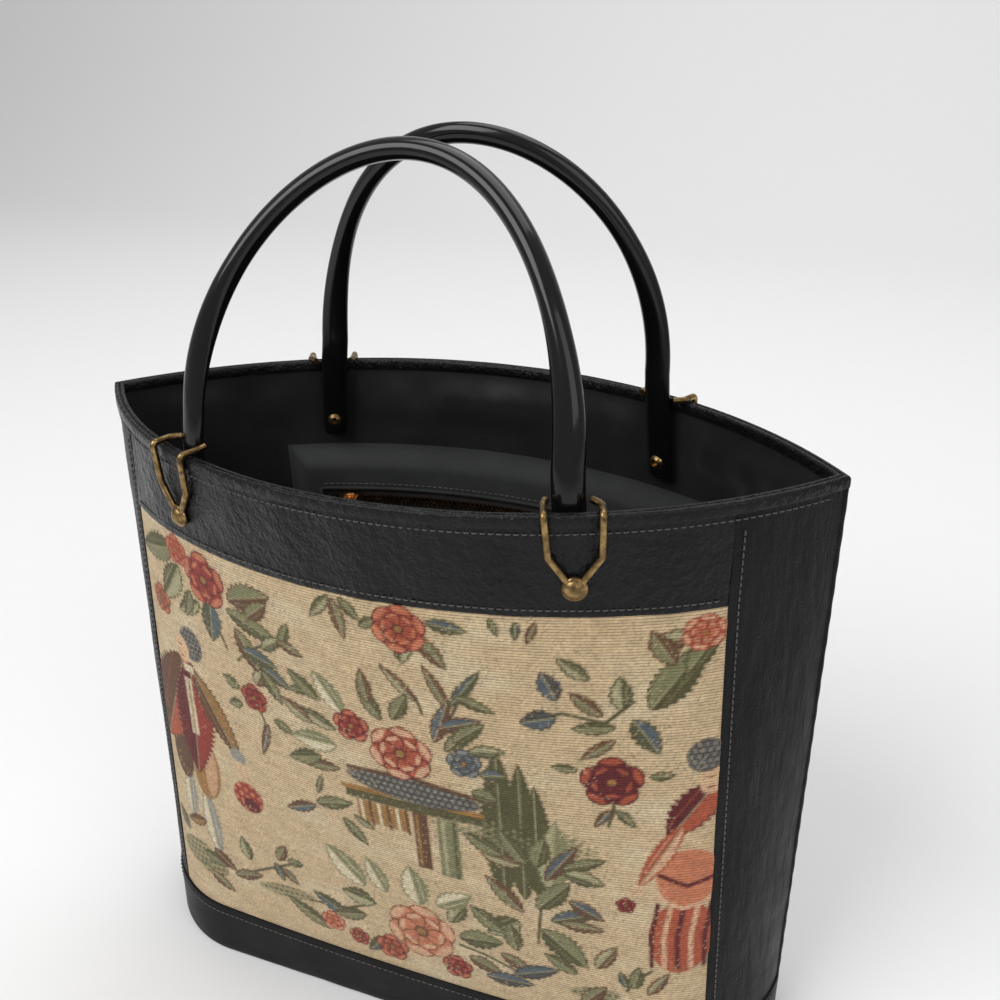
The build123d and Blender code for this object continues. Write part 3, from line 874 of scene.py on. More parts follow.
    def build(self) -> None:
        """Make every leather piece."""
        z_side = np.linspace(self.band_top, self.wall_top, self.edge_lines)
        edge = self.panel_edge(z_side)
        inner = self.form.share_of(edge[:, None], z_side)[:, 0]
        tip = np.ones_like(inner)
        tall = (self.band_top, self.wall_top)
        left = self.panel("side_panel_left", Side.FRONT, (-tip, -inner), tall,
                          1.3, 11, 0.35, (), "side_leather")
        right = self.panel("side_panel_right", Side.FRONT, (inner, tip), tall,
                           1.3, 17, 0.35, (), "side_leather")
        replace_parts(left, "front_side_left")
        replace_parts(right, "front_side_right")
        z_band = np.linspace(self.panel_top, self.wall_top, self.edge_lines)
        inner = self.form.share_of(self.panel_edge(z_band)[:, None], z_band)[:, 0]
        band = self.panel("top_band", Side.FRONT, (-inner, inner), (self.panel_top, self.wall_top),
                          0.9, 23, 0.6, self.rivets, "band_leather")
        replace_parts(band, "front_top_band")
        rear = self.panel("rear_panel", Side.REAR, (-tip, tip), tall, 1.8, 31, 0.5,
                          self.rear_rivets, "side_leather")
        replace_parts(rear, "rear_leather")
        underside = [(0.0, inset) for inset in (3.0, 8.0, 16.0, 26.0, 38.0, 50.0, 55.9)]
        skirt = [(30.0, 1.2), (30.0, -0.5), (29.7, -0.8), (29.0, -0.9)]
        skirt += [(float(level), -0.9) for level in range(26, 4, -3)]
        skirt += [(2.2, -0.9), (0.9, -0.55), (0.25, 0.0), (0.0, 0.8)]
        base = self.swept("base_skirt", skirt + underside, 260, "base_leather", 0.12)
        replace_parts(base, "base_band", "base_leather")
        bound = [(286.0, 0.2), (286.0, -0.5), (286.5, -0.75), (288.0, -0.75), (289.8, -0.7),
                 (290.7, -0.35), (291.0, 0.35), (290.9, 1.1), (290.2, 1.6), (290.2, 1.75),
                 (290.9, 2.2), (291.0, 2.9), (290.7, 3.6), (289.8, 3.95), (288.0, 4.0),
                 (286.5, 4.0), (286.0, 3.8), (286.0, 3.1)]
        rim = self.swept("bound_rim", bound, 320, "band_leather", 0.1)
        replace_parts(rim, "rim_binding")
        for name, end in (("left", -1), ("right", 1)):
            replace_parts(self.welt("seam_" + name, end), "side_welt_" + name)


@dataclass
class Loom:
    """Draws figures in dyed wool on a grid of points across and up."""

    x: Array
    z: Array
    cell: float
    dye: Array = field(init=False)
    height: Array = field(init=False)

    def __post_init__(self) -> None:
        """Start with the plain ground."""
        self.dye = np.tile(linear(Tone.GROUND.value), (*self.x.shape, 1))
        self.height = np.zeros(self.x.shape)

    def local(self, x: float, z: float, angle: float) -> tuple[Array, Array]:
        """Places as seen from a turned point.

        Args:
            x: The point across.
            z: The point up.
            angle: Turn in degrees.

        Returns:
            Places along and across the turned direction.
        """
        across, up = self.x - x, self.z - z
        turn = radians(angle)
        return across * cos(turn) + up * sin(turn), up * cos(turn) - across * sin(turn)

    def lay(self, gap: Array, tone: Tone, strength: float = 1.0, lift: float = 0.0) -> None:
        """Cover what lies inside a shape.

        Args:
            gap: Distance outside the shape's edge in millimetres, negative inside.
            tone: The dye.
            strength: How far it covers what is below.
            lift: Height of the raised wool, from 0 to 1.
        """
        cover = np.clip(0.5 - gap / self.cell, 0.0, 1.0)
        share = (cover * strength)[..., None]
        self.dye = self.dye * (1.0 - share) + linear(tone.value) * share
        if lift:
            self.height = np.maximum(self.height, lift * smooth(0.5 - gap / 1.6))

    def oval(self, x: float, z: float, across: float, tall: float, tone: Tone,
             angle: float = 0.0, lift: float = 1.0, strength: float = 1.0) -> None:
        """An oval of one dye.

        Args:
            x: Its centre across.
            z: Its centre up.
            across: Half its width.
            tall: Half its height.
            tone: Its dye.
            angle: Turn in degrees.
            lift: Height of the raised wool.
            strength: How far it covers what is below.
        """
        u, v = self.local(x, z, angle)
        reach = np.hypot(u / across, v / tall)
        self.lay((reach - 1.0) * min(across, tall), tone, strength, lift)

    def leaf(self, x: float, z: float, angle: float, length: float, width: float,
             dark: Tone = Tone.OLIVE, light: Tone = Tone.SAGE) -> None:
        """A pointed leaf with a dark and a light half and a vein.

        Args:
            x: Its foot across.
            z: Its foot up.
            angle: Direction of its tip in degrees.
            length: Its length.
            width: Its width.
            dark: Dye of its lower half and its outline.
            light: Dye of its upper half.
        """
        u, v = self.local(x, z, angle)
        share = np.clip(u / length, 0.0, 1.0)
        half = width / 2 * np.sin(pi * share**0.85) ** 0.8 * (1.0 + 0.1 * np.sin(u * 1.9))
        ends = np.maximum(-u, u - length)
        body = np.maximum(np.abs(v) - half, ends)
        self.lay(body, dark, 1.0, 1.0)
        self.lay(np.maximum(body + 1.0, -v + 0.25), light)
        self.lay(np.maximum(body + 1.6, np.abs(v + 0.22 * width) - 0.4), light, 0.5)
        self.lay(np.maximum(body + 1.1, np.abs(v) - 0.3), Tone.PALE, 0.8)

    def petal(self, x: float, z: float, angle: float, length: float, width: float,
              tones: tuple[Tone, Tone, Tone]) -> None:
        """One rounded petal with a dark outline and a lit tip.

        Args:
            x: Its foot across.
            z: Its foot up.
            angle: Direction of its tip in degrees.
            length: Its length.
            width: Its width.
            tones: Dyes of its outline, its body and its tip.
        """
        u, v = self.local(x, z, angle)
        share = np.clip(u / length, 0.0, 1.0)
        half = width / 2 * np.sin(pi * share**1.5) ** 0.55
        body = np.maximum(np.abs(v) - half, np.maximum(-u, u - length))
        dark, middle, light = tones
        self.lay(body, dark, 1.0, 1.0)
        self.lay(body + 0.85, middle)
        self.lay(np.maximum(body + 1.2, 0.66 * length - u + 0.3 * np.abs(v)), light, 0.9)
        self.lay(np.maximum(body + 0.9, np.maximum(np.abs(v) - 0.3, u - 0.7 * length)), dark, 0.6)

    def bloom(self, x: float, z: float, radius: float, petals: int, dark: Tone, middle: Tone,
              light: Tone) -> None:
        """A flower: an outer and an inner round of petals about its heart.

        Args:
            x: Its centre across.
            z: Its centre up.
            radius: Its radius.
            petals: Number of outer petals.
            dark: Dye of its outlines.
            middle: Dye of its petals.
            light: Dye of its lit edges.
        """
        step = 360.0 / petals
        for size, start in ((1.0, 20.0), (0.68, 20.0 + step / 2)):
            for petal in range(petals):
                self.petal(x, z, start + step * petal, size * radius, 0.92 * size * radius,
                           (dark, middle, light))
        self.oval(x, z, 0.2 * radius, 0.2 * radius, dark)
        self.oval(x, z, 0.13 * radius, 0.13 * radius, Tone.OCHRE)

    def line(self, points: Sequence[tuple[float, float]], width: float, tone: Tone,
             strength: float = 1.0) -> None:
        """A drawn line.

        Args:
            points: Corners of the line.
            width: Its width.
            tone: Its dye.
            strength: How far it covers what is below.
        """
        gap = np.full(self.x.shape, 1e9)
        for (x0, z0), (x1, z1) in zip(points[:-1], points[1:]):
            run = np.hypot(x1 - x0, z1 - z0)
            u, v = self.x - x0, self.z - z0
            share = np.clip((u * (x1 - x0) + v * (z1 - z0)) / run**2, 0.0, 1.0)
            gap = np.minimum(gap, np.hypot(u - share * (x1 - x0), v - share * (z1 - z0)))
        self.lay(gap - width / 2, tone, strength)

    def block(self, x0: float, x1: float, z0: float, z1: float, tone: Tone,
              lift: float = 1.0, strength: float = 1.0) -> None:
        """An upright block of one dye.

        Args:
            x0: Its left edge.
            x1: Its right edge.
            z0: Its lower edge.
            z1: Its upper edge.
            tone: Its dye.
            lift: Height of the raised wool.
            strength: How far it covers what is below.
        """
        gap = np.maximum(np.abs(self.x - (x0 + x1) / 2) - (x1 - x0) / 2,
                         np.abs(self.z - (z0 + z1) / 2) - (z1 - z0) / 2)
        self.lay(gap, tone, strength, lift)

    def dots(self, x: float, z: float, across: float, tall: float, pitch: float, tone: Tone,
             angle: float = 0.0) -> None:
        """A field of small dots within an oval, as for curled hair or basket work.

        Args:
            x: Centre across.
            z: Centre up.
            across: Half the width of the field.
            tall: Half its height.
            pitch: Spacing of the dots.
            tone: Their dye.
            angle: Turn in degrees.
        """
        u, v = self.local(x, z, angle)
        row = np.round(v / pitch)
        du = (u / pitch + 0.5 * (row % 2) + 0.5) % 1.0 - 0.5
        dot = np.hypot(du * pitch, v - row * pitch) - 0.31 * pitch
        inside = (np.hypot(u / across, v / tall) - 1.0) * min(across, tall)
        self.lay(np.maximum(dot, inside + 0.4), tone, 0.9)


LEAVES: tuple[tuple[float, ...], ...] = (
    (-104, 240, 199, 32, 14), (-102, 232, 234, 28, 14), (-70, 228, 20, 28, 14), (-72, 222, -14, 30, 11),
    (-82, 222, -98, 22, 13), (-68, 214, -62, 24, 11), (-54, 208, 38, 16, 7), (-42, 214, 68, 14, 6),
    (-44, 216, -20, 14, 6), (-58, 200, -28, 20, 8), (-42, 192, 8, 12, 5), (-61, 186, 62, 12, 8),
    (-72, 180, 158, 11, 7), (-72, 172, 200, 10, 6), (-58, 166, -108, 22, 5), (-54, 170, -25, 12, 6),
    (-13, 247, 230, 17, 6), (-12, 246, -80, 20, 7), (-9, 247, -48, 13, 6), (27, 242, -8, 17, 7),
    (22, 236, -52, 20, 8), (17, 234, -95, 14, 9), (7, 240, 212, 10, 6), (34, 200, 115, 24, 6),
    (34, 202, 56, 24, 6), (36, 208, -22, 18, 6), (20, 202, 132, 22, 6), (3, 188, 118, 20, 8),
    (8, 190, 62, 17, 8), (26, 182, 72, 24, 8), (30, 178, 48, 22, 8), (-20, 176, 160, 22, 8),
    (-21, 154, 186, 24, 7), (40, 158, -12, 12, 9), (44, 168, 8, 12, 8), (93, 203, 138, 17, 7),
    (100, 206, 94, 16, 9), (98, 198, 184, 17, 7), (98, 192, 218, 17, 6), (104, 202, -58, 20, 10),
    (110, 206, 58, 34, 15), (108, 234, 18, 20, 9), (111, 174, 6, 10, 5), (84, 176, 172, 11, 5),
    (97, 157, -124, 12, 5), (99, 157, -48, 12, 5), (-86, 70, 103, 15, 8), (-68, 78, 62, 14, 7),
    (-62, 80, 10, 10, 6), (-70, 76, -70, 12, 6), (-66, 74, -42, 12, 6), (-14, 72, 172, 18, 12),
    (28, 66, 8, 22, 12), (48, 62, -28, 18, 8), (-30, 56, 152, 22, 9), (-42, 42, 150, 28, 9),
    (60, 120, 168, 19, 8), (62, 121, 122, 22, 9), (66, 121, 78, 18, 10), (70, 114, 58, 26, 8),
    (77, 122, 22, 20, 7), (78, 120, -14, 18, 9), (60, 92, 132, 25, 9), (66, 96, 52, 24, 11),
    (72, 90, 24, 22, 9), (76, 90, -2, 20, 7), (58, 86, 218, 20, 13), (68, 84, -42, 28, 14),
    (86, 42, 52, 18, 9), (106, 58, 110, 10, 5), (109, 58, 82, 14, 7), (115, 56, 58, 16, 6),
    (-36, 134, 72, 14, 4), (-38, 128, 18, 22, 8), (-38, 126, 205, 20, 7), (-24, 124, -50, 18, 7),
    (-8, 122, 150, 12, 5), (-115, 52, -30, 18, 7), (52, 247, -70, 9, 4), (62, 246, -95, 9, 4),
    (69, 246, -110, 11, 4),
    (-90, 218, 210, 20, 9), (-96, 222, 250, 16, 8), (-60, 222, 40, 18, 9), (-66, 204, -10, 20, 9),
    (-56, 196, -60, 18, 8), (-32, 176, 148, 18, 8), (-30, 158, 200, 20, 9), (-26, 190, 140, 20, 8),
    (28, 190, 20, 20, 8), (34, 184, 40, 18, 8), (40, 180, 8, 16, 7), (-2, 196, 96, 18, 7),
    (-20, 62, 200, 20, 9), (-10, 50, 230, 18, 8), (32, 54, -20, 18, 9), (24, 74, 60, 18, 9),
    (-100, 60, 170, 18, 8), (-98, 56, 20, 20, 7), (-128, 70, 120, 14, 7), (84, 60, 150, 18, 8),
    (92, 66, 60, 18, 8), (56, 66, 100, 18, 9), (50, 76, 140, 20, 10), (80, 104, -30, 18, 8),
    (52, 124, 150, 20, 9), (88, 220, 140, 16, 7), (118, 226, 120, 18, 9), (122, 222, 60, 20, 9),
)
PALE_LEAVES: tuple[tuple[float, ...], ...] = (
    (-15, 186, 122, 24, 11), (-21, 167, 184, 24, 12), (-18, 82, 132, 28, 15), (-7, 82, 112, 22, 11),
    (10, 80, 98, 25, 14), (18, 83, 34, 22, 11),
)
STEMS: tuple[tuple[tuple[float, float], ...], ...] = (
    ((-70, 196), (-62, 204), (-50, 212), (-38, 214)),
    ((-62, 200), (-48, 194), (-34, 191)),
    ((-64, 178), (-60, 166), (-64, 148)),
    ((34, 196), (38, 206), (46, 218)),
    ((22, 196), (20, 204), (6, 216)),
    ((66, 200), (78, 204), (94, 200), (104, 210)),
    ((97, 170), (98, 156), (96, 148)),
    ((-90, 60), (-74, 70), (-58, 80)),
    ((66, 74), (68, 100), (66, 122)),
    ((106, 56), (110, 64), (116, 70)),
    ((-14, 72), (-30, 62), (-52, 58)),
    ((28, 60), (40, 58), (56, 52)),
    ((-84, 231), (-80, 210), (-76, 200)),
)
BLOOMS: tuple[tuple[float, float, float, int, Tone, Tone, Tone], ...] = (
    (-84, 232, 14, 5, Tone.CRIMSON, Tone.RED, Tone.PINK),
    (-122, 207, 8, 5, Tone.BROWN, Tone.BRICK, Tone.PINK),
    (-64, 178, 8, 5, Tone.CRIMSON, Tone.RED, Tone.BRICK),
    (-12, 181, 9, 5, Tone.CRIMSON, Tone.RED, Tone.PINK),
    (97, 171, 13, 5, Tone.CRIMSON, Tone.CRIMSON, Tone.BRICK),
    (-8, 44, 9, 5, Tone.CRIMSON, Tone.BRICK, Tone.PINK),
    (26, 44, 8, 5, Tone.CRIMSON, Tone.RED, Tone.PINK),
    (10, 172, 15, 6, Tone.CRIMSON, Tone.BRICK, Tone.BLUSH),
    (16, 237, 12, 6, Tone.CRIMSON, Tone.BRICK, Tone.PINK),
    (9, 62, 18, 6, Tone.BROWN, Tone.PINK, Tone.BLUSH),
    (-102, 240, 8, 5, Tone.RED, Tone.BRICK, Tone.PINK),
    (127, 239, 8, 6, Tone.RED, Tone.PINK, Tone.BLUSH),
    (-40, 49, 7, 5, Tone.RED, Tone.PINK, Tone.BLUSH),
    (-26, 44, 6, 5, Tone.CRIMSON, Tone.BRICK, Tone.PINK),
    (104, 106, 4.5, 5, Tone.CRIMSON, Tone.RED, Tone.BRICK),
    (38, 173, 8, 5, Tone.GREY, Tone.SLATE, Tone.SILVER),
)
BUDS: tuple[tuple[float, ...], ...] = (
    (76, 210, 113, 15, 9), (76, 202, 195, 15, 10), (40, 44, 5, 24, 9), (54, 50, 25, 24, 9),
)


@dataclass
class Tapestry:
    """The woven picture on the front."""

    form: BagForm
    finishes: Finishes
    low: float = 30.0
    top: float = 248.5
    half_low: float = 139.4
    half_top: float = 134.3
    sink: float = 0.6
    raise_by: float = 0.35
    columns: int = 352
    rows: int = 276

    def gentleman(self, loom: Loom) -> None:
        """The gentleman in a long coat, in plain shapes of our own.

        Args:
            loom: The grid that is drawn on.
        """
        loom.leaf(-106, 66, 96, 42, 11, Tone.SILVER, Tone.CREAM)
        loom.leaf(-122, 82, 88, 34, 10, Tone.SILVER, Tone.CREAM)
        loom.leaf(-110, 68, -35, 17, 7, Tone.BROWN, Tone.BROWN)
        loom.leaf(-112, 84, 200, 16, 7, Tone.BROWN, Tone.OCHRE)
        loom.oval(-106, 118, 9, 18, Tone.OCHRE, -6)
        loom.oval(-103, 118, 4, 15, Tone.BLUSH, -6, 0.0, 0.7)
        loom.oval(-123, 122, 8, 16, Tone.BROWN)
        loom.leaf(-110, 182, -114, 64, 34, Tone.BROWN, Tone.BRICK)
        loom.leaf(-106, 180, -95, 66, 26, Tone.CRIMSON, Tone.RED)
        loom.block(-112, -107, 138, 170, Tone.CREAM, 1.0, 0.85)
        loom.line(((-109, 168), (-110, 138)), 0.9, Tone.OCHRE)
        loom.leaf(-104, 176, -60, 48, 15, Tone.BROWN, Tone.OCHRE)
        loom.oval(-82, 137, 5, 4, Tone.SILVER, -40)
        loom.leaf(-82, 134, -84, 12, 6, Tone.SKIN, Tone.SKIN)
        loom.oval(-80, 113, 9, 9, Tone.RED, -20)
        loom.dots(-80, 113, 9, 9, 4.2, Tone.PINK, -20)
        loom.oval(-78, 109, 5, 4, Tone.CRIMSON, -20, 0.0)
        loom.oval(-103, 191, 8, 9, Tone.GREY)
        loom.dots(-103, 191, 8, 9, 2.6, Tone.SILVER)
        loom.oval(-110, 186, 4.6, 7.4, Tone.SKIN, 8)
        loom.line(((-112, 188), (-110.2, 188.2)), 0.8, Tone.BROWN)
        loom.line(((-111.6, 182), (-109.4, 182.2)), 0.8, Tone.RED)
        loom.block(-111, -104, 174, 178, Tone.CREAM)

    def lady(self, loom: Loom) -> None:
        """The lady in a wide gown, in plain shapes of our own.

        Args:
            loom: The grid that is drawn on.
        """
        loom.oval(127, 90, 13, 20, Tone.BRICK)
        for place in range(5):
            x = 116 + place * 5.2
            tone = Tone.BLUSH if place % 2 else Tone.CRIMSON
            loom.line(((x + 1, 108), (x - 1, 90), (x, 73)), 2.0, tone)
        loom.oval(128, 122, 12, 15, Tone.PINK)
        loom.line(((117, 124), (128, 118), (139, 122)), 2.2, Tone.CRIMSON)
        loom.line(((116, 112), (127, 106), (139, 110)), 2.0, Tone.BLUSH)
        loom.leaf(136, 170, -122, 32, 17, Tone.CRIMSON, Tone.BRICK)
        loom.leaf(125, 150, -116, 38, 9, Tone.BRICK, Tone.BLUSH)
        loom.leaf(110, 118, -120, 9, 5, Tone.SKIN, Tone.SKIN)
        loom.oval(134, 171, 4.6, 7, Tone.SKIN, -8)
        loom.oval(131, 183, 7, 8, Tone.GREY)
        loom.dots(131, 183, 7, 8, 2.6, Tone.SILVER)
        loom.line(((132, 172.4), (133.8, 172.4)), 0.8, Tone.BROWN)
        loom.line(((132.8, 167.4), (135, 167.6)), 0.8, Tone.RED)

    def garden(self, loom: Loom) -> None:
        """The basket on its table, the columns and the tall bush.

        Args:
            loom: The grid that is drawn on.
        """
        for x, foot, reach, wide in ((52, 100, 84, 17), (61, 100, 77, 16), (67, 104, 62, 14)):
            loom.leaf(x, foot, 90.5, reach, wide, Tone.OLIVE, Tone.OLIVE)
            loom.dots(x, foot + reach * 0.45, wide * 0.4, reach * 0.42, 3.4, Tone.SAGE, 90)
        loom.leaf(73, 106, 88, 42, 14, Tone.SAGE, Tone.PALE)
        loom.block(-15, 10, 126, 139, Tone.OCHRE)
        for place in range(6):
            x = -13.0 + place * 4.4
            loom.line(((x, 139), (x + 0.6, 125)), 1.4, Tone.BROWN if place % 2 else Tone.CREAM)
        loom.block(12, 19, 106, 140, Tone.BROWN)
        loom.line(((14, 138), (14, 108)), 1.2, Tone.OCHRE)
        loom.block(23, 33, 104, 139, Tone.SAGE)
        loom.line(((26, 138), (26, 105)), 1.4, Tone.PALE)
        loom.line(((31, 138), (31, 105)), 1.6, Tone.OLIVE)
        loom.block(-20, 44, 139.5, 145, Tone.OLIVE)
        loom.line(((-21, 145), (12, 147), (44, 145)), 2.6, Tone.OCHRE)
        loom.oval(13, 152, 31, 7, Tone.GREY, -3)
        loom.dots(13, 152, 31, 7, 3.1, Tone.SILVER, -3)
        loom.line(((-17, 157), (13, 159.5), (44, 154)), 2.0, Tone.BROWN)

    def ground(self, loom: Loom) -> None:
        """Soft cloud bands of the plain ground.

        Args:
            loom: The grid that is drawn on.
        """
        drift = ripple(loom.x, loom.z * 1.6, 55.0, 5)
        for tone, low in ((Tone.OCHRE, 0.72), (Tone.CREAM, -9.0)):
            share = 0.12 * smooth((drift - low) / 0.7) if low > 0 else 0.35 * smooth(-drift)
            loom.dye = loom.dye * (1 - share[..., None]) + linear(tone.value) * share[..., None]
        tufts = ((-122, 60, 13, 8), (-112, 54, 10, 5), (-66, 58, 17, 4), (92, 50, 12, 4))
        for x, z, across, tall in tufts:
            loom.oval(x, z, across, tall, Tone.SAGE, 8, 0.3, 0.6)
            loom.dots(x, z, across, tall, 3.2, Tone.OLIVE, 8)

    def picture(self, loom: Loom) -> None:
        """Draw every figure in order.

        Args:
            loom: The grid that is drawn on.
        """
        self.ground(loom)
        self.garden(loom)
        for stem in STEMS:
            loom.line(stem, 1.5, Tone.OLIVE)
        for number, shape in enumerate(LEAVES):
            light = (Tone.SAGE, Tone.PALE, Tone.SAGE, Tone.SAGE, Tone.SLATE)[number % 5]
            dark = (Tone.OLIVE, Tone.OLIVE, Tone.BROWN)[number % 3]
            loom.leaf(*shape, dark, light)
        for shape in PALE_LEAVES:
            loom.leaf(*shape, Tone.SAGE, Tone.CREAM)
        for shape in BUDS:
            loom.leaf(*shape, Tone.GREY, Tone.SLATE)
        self.gentleman(loom)
        self.lady(loom)
        for flower in BLOOMS:
            loom.bloom(*flower)

    def yarn(self, loom: Loom) -> None:
        """Break up the dyes as wool on a rib does.

        Args:
            loom: The grid that is drawn on.
        """
        pick = np.random.default_rng(7)
        lights = pick.normal(1.0, 0.1, loom.x.shape)
        lights *= 1.0 + 0.08 * ripple(loom.x * 0.3, loom.z, 6.0, 3)
        loom.dye = np.clip(loom.dye * lights[..., None], 0.0, 1.0)
        strays = pick.random(loom.x.shape) < 0.1
        share = np.where(strays, 0.45, 0.0)[..., None]
        other = np.roll(np.roll(loom.dye, 5, 0), 7, 1)
        loom.dye = loom.dye * (1.0 - share) + other * share

    def build(self) -> bpy.types.Object:
        """Weave the panel.

        Returns:
            The tapestry.
        """
        z = np.linspace(self.low, self.top, self.rows)
        share = (z - self.low) / (self.top - self.low)
        half = self.half_low + (self.half_top - self.half_low) * share
        x = half[:, None] * np.linspace(-1.0, 1.0, self.columns)[None, :]
        loom = Loom(x, np.broadcast_to(z[:, None], x.shape), 2.0 * self.half_low / self.columns)
        self.picture(loom)
        self.yarn(loom)
        inset = self.sink - self.raise_by * loom.height
        points = self.form.point(Side.FRONT, self.form.share_of(x, z, self.sink), z[:, None], inset)
        mesh = MeshBuilder("tapestry")
        mesh.grid(points)
        made = mesh.build(self.finishes.of("tapestry"))
        dye = np.concatenate([loom.dye, np.ones((*x.shape, 1))], -1).astype(np.float32)
        layer = made.data.color_attributes.new("dye", "FLOAT_COLOR", "POINT")
        layer.data.foreach_set("color", dye.ravel())
        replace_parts(made, "tapestry_panel", "tapestry_leaves", "tapestry_pale_leaves",
                    "tapestry_red_flowers", "tapestry_pink_flowers", "tapestry_blue_flowers",
                    "tapestry_hair", "tapestry_skin", "tapestry_dress", "tapestry_basket")
        return made


@dataclass
class Lining:
    """The satin inside, in two walls and a floor, with soft folds."""

    form: BagForm
    finishes: Finishes
    wall: float = 3.3
    floor: float = 4.3
    top: float = 289.8
    fold: float = 2.6
    pocket: tuple[float, float, float, float] = (-118.0, 118.0, 84.0, 256.0)
    seam: float = 162.0
    legs: tuple[float, float] = (85.0, -88.0)
    leg_hold: float = 9.0
    leg_low: float = 236.0

    def folds(self, side: Side, x: Array, z: Array) -> Array:
        """How far the cloth falls inwards.

        Args:
            side: Front or rear wall.
            x: Places across, in millimetres.
            z: Heights in millimetres.

        Returns:
            Depth of the folds in millimetres, never below 0.
        """
        broad = 0.5 + 0.5 * ripple(x, z * 0.45, 44.0, 60 + side.value)
        fine = 0.5 + 0.5 * ripple(x, z * 0.3, 13.0, 70 + side.value)
        total = self.fold * np.clip(0.75 * broad + 0.25 * fine, 0.0, 1.4)
        total = total * smooth((self.top - 4.0 - z) / 14.0) * smooth((z - self.floor) / 12.0)
        total = total * smooth((self.seam - np.abs(x)) / 14.0)
        gap = np.minimum(np.abs(x - self.legs[0]), np.abs(x - self.legs[1]))
        held = smooth((gap - self.leg_hold) / 12.0) + smooth((self.leg_low - z) / 14.0)
        total = total * np.clip(held, 0.0, 1.0)
        if side is Side.REAR:
            left, right, low, high = self.pocket
            gap = np.maximum(np.maximum(left - x, x - right), np.maximum(low - z, z - high))
            total = total * smooth(gap / 12.0)
        return total

    def build(self) -> None:
        """Make the three pieces."""
        share = np.linspace(-1.0, 1.0, 241)
        z = np.linspace(self.floor, self.top, 181)
        for side in Side:
            word = side.name.lower()
            plain = self.form.point(side, share[None, :], z[:, None], self.wall) / MM
            inset = self.wall + self.folds(side, plain[..., 0], plain[..., 2])
            mesh = MeshBuilder(word + "_satin")
            mesh.grid(self.form.point(side, share[None, :], z[:, None], inset), flip=side is Side.FRONT)
            made = mesh.build(self.finishes.of("lining"))
            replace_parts(made, word + "_lining")
        insets = np.concatenate([np.linspace(self.wall, 52.0, 32), [54.0, 55.9]])
        rows = [self.form.ring(self.floor, float(inset), 120) for inset in insets]
        line = rows[-1].copy()
        line[:, 1] = 0.0
        rows.append(line)
        floor = np.array(rows)
        depth = smooth((insets - self.wall) / 10.0)
        lift = 0.6 + 0.6 * ripple(floor[..., 0] / MM, floor[..., 1] / MM, 38.0, 83)
        floor[..., 2] += np.append(depth, 1.0)[:, None] * np.clip(lift, 0.0, 1.3) * MM
        mesh = MeshBuilder("floor_satin")
        mesh.grid(floor, closed=True)
        made = mesh.build(self.finishes.of("lining"))
        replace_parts(made, "base_lining")


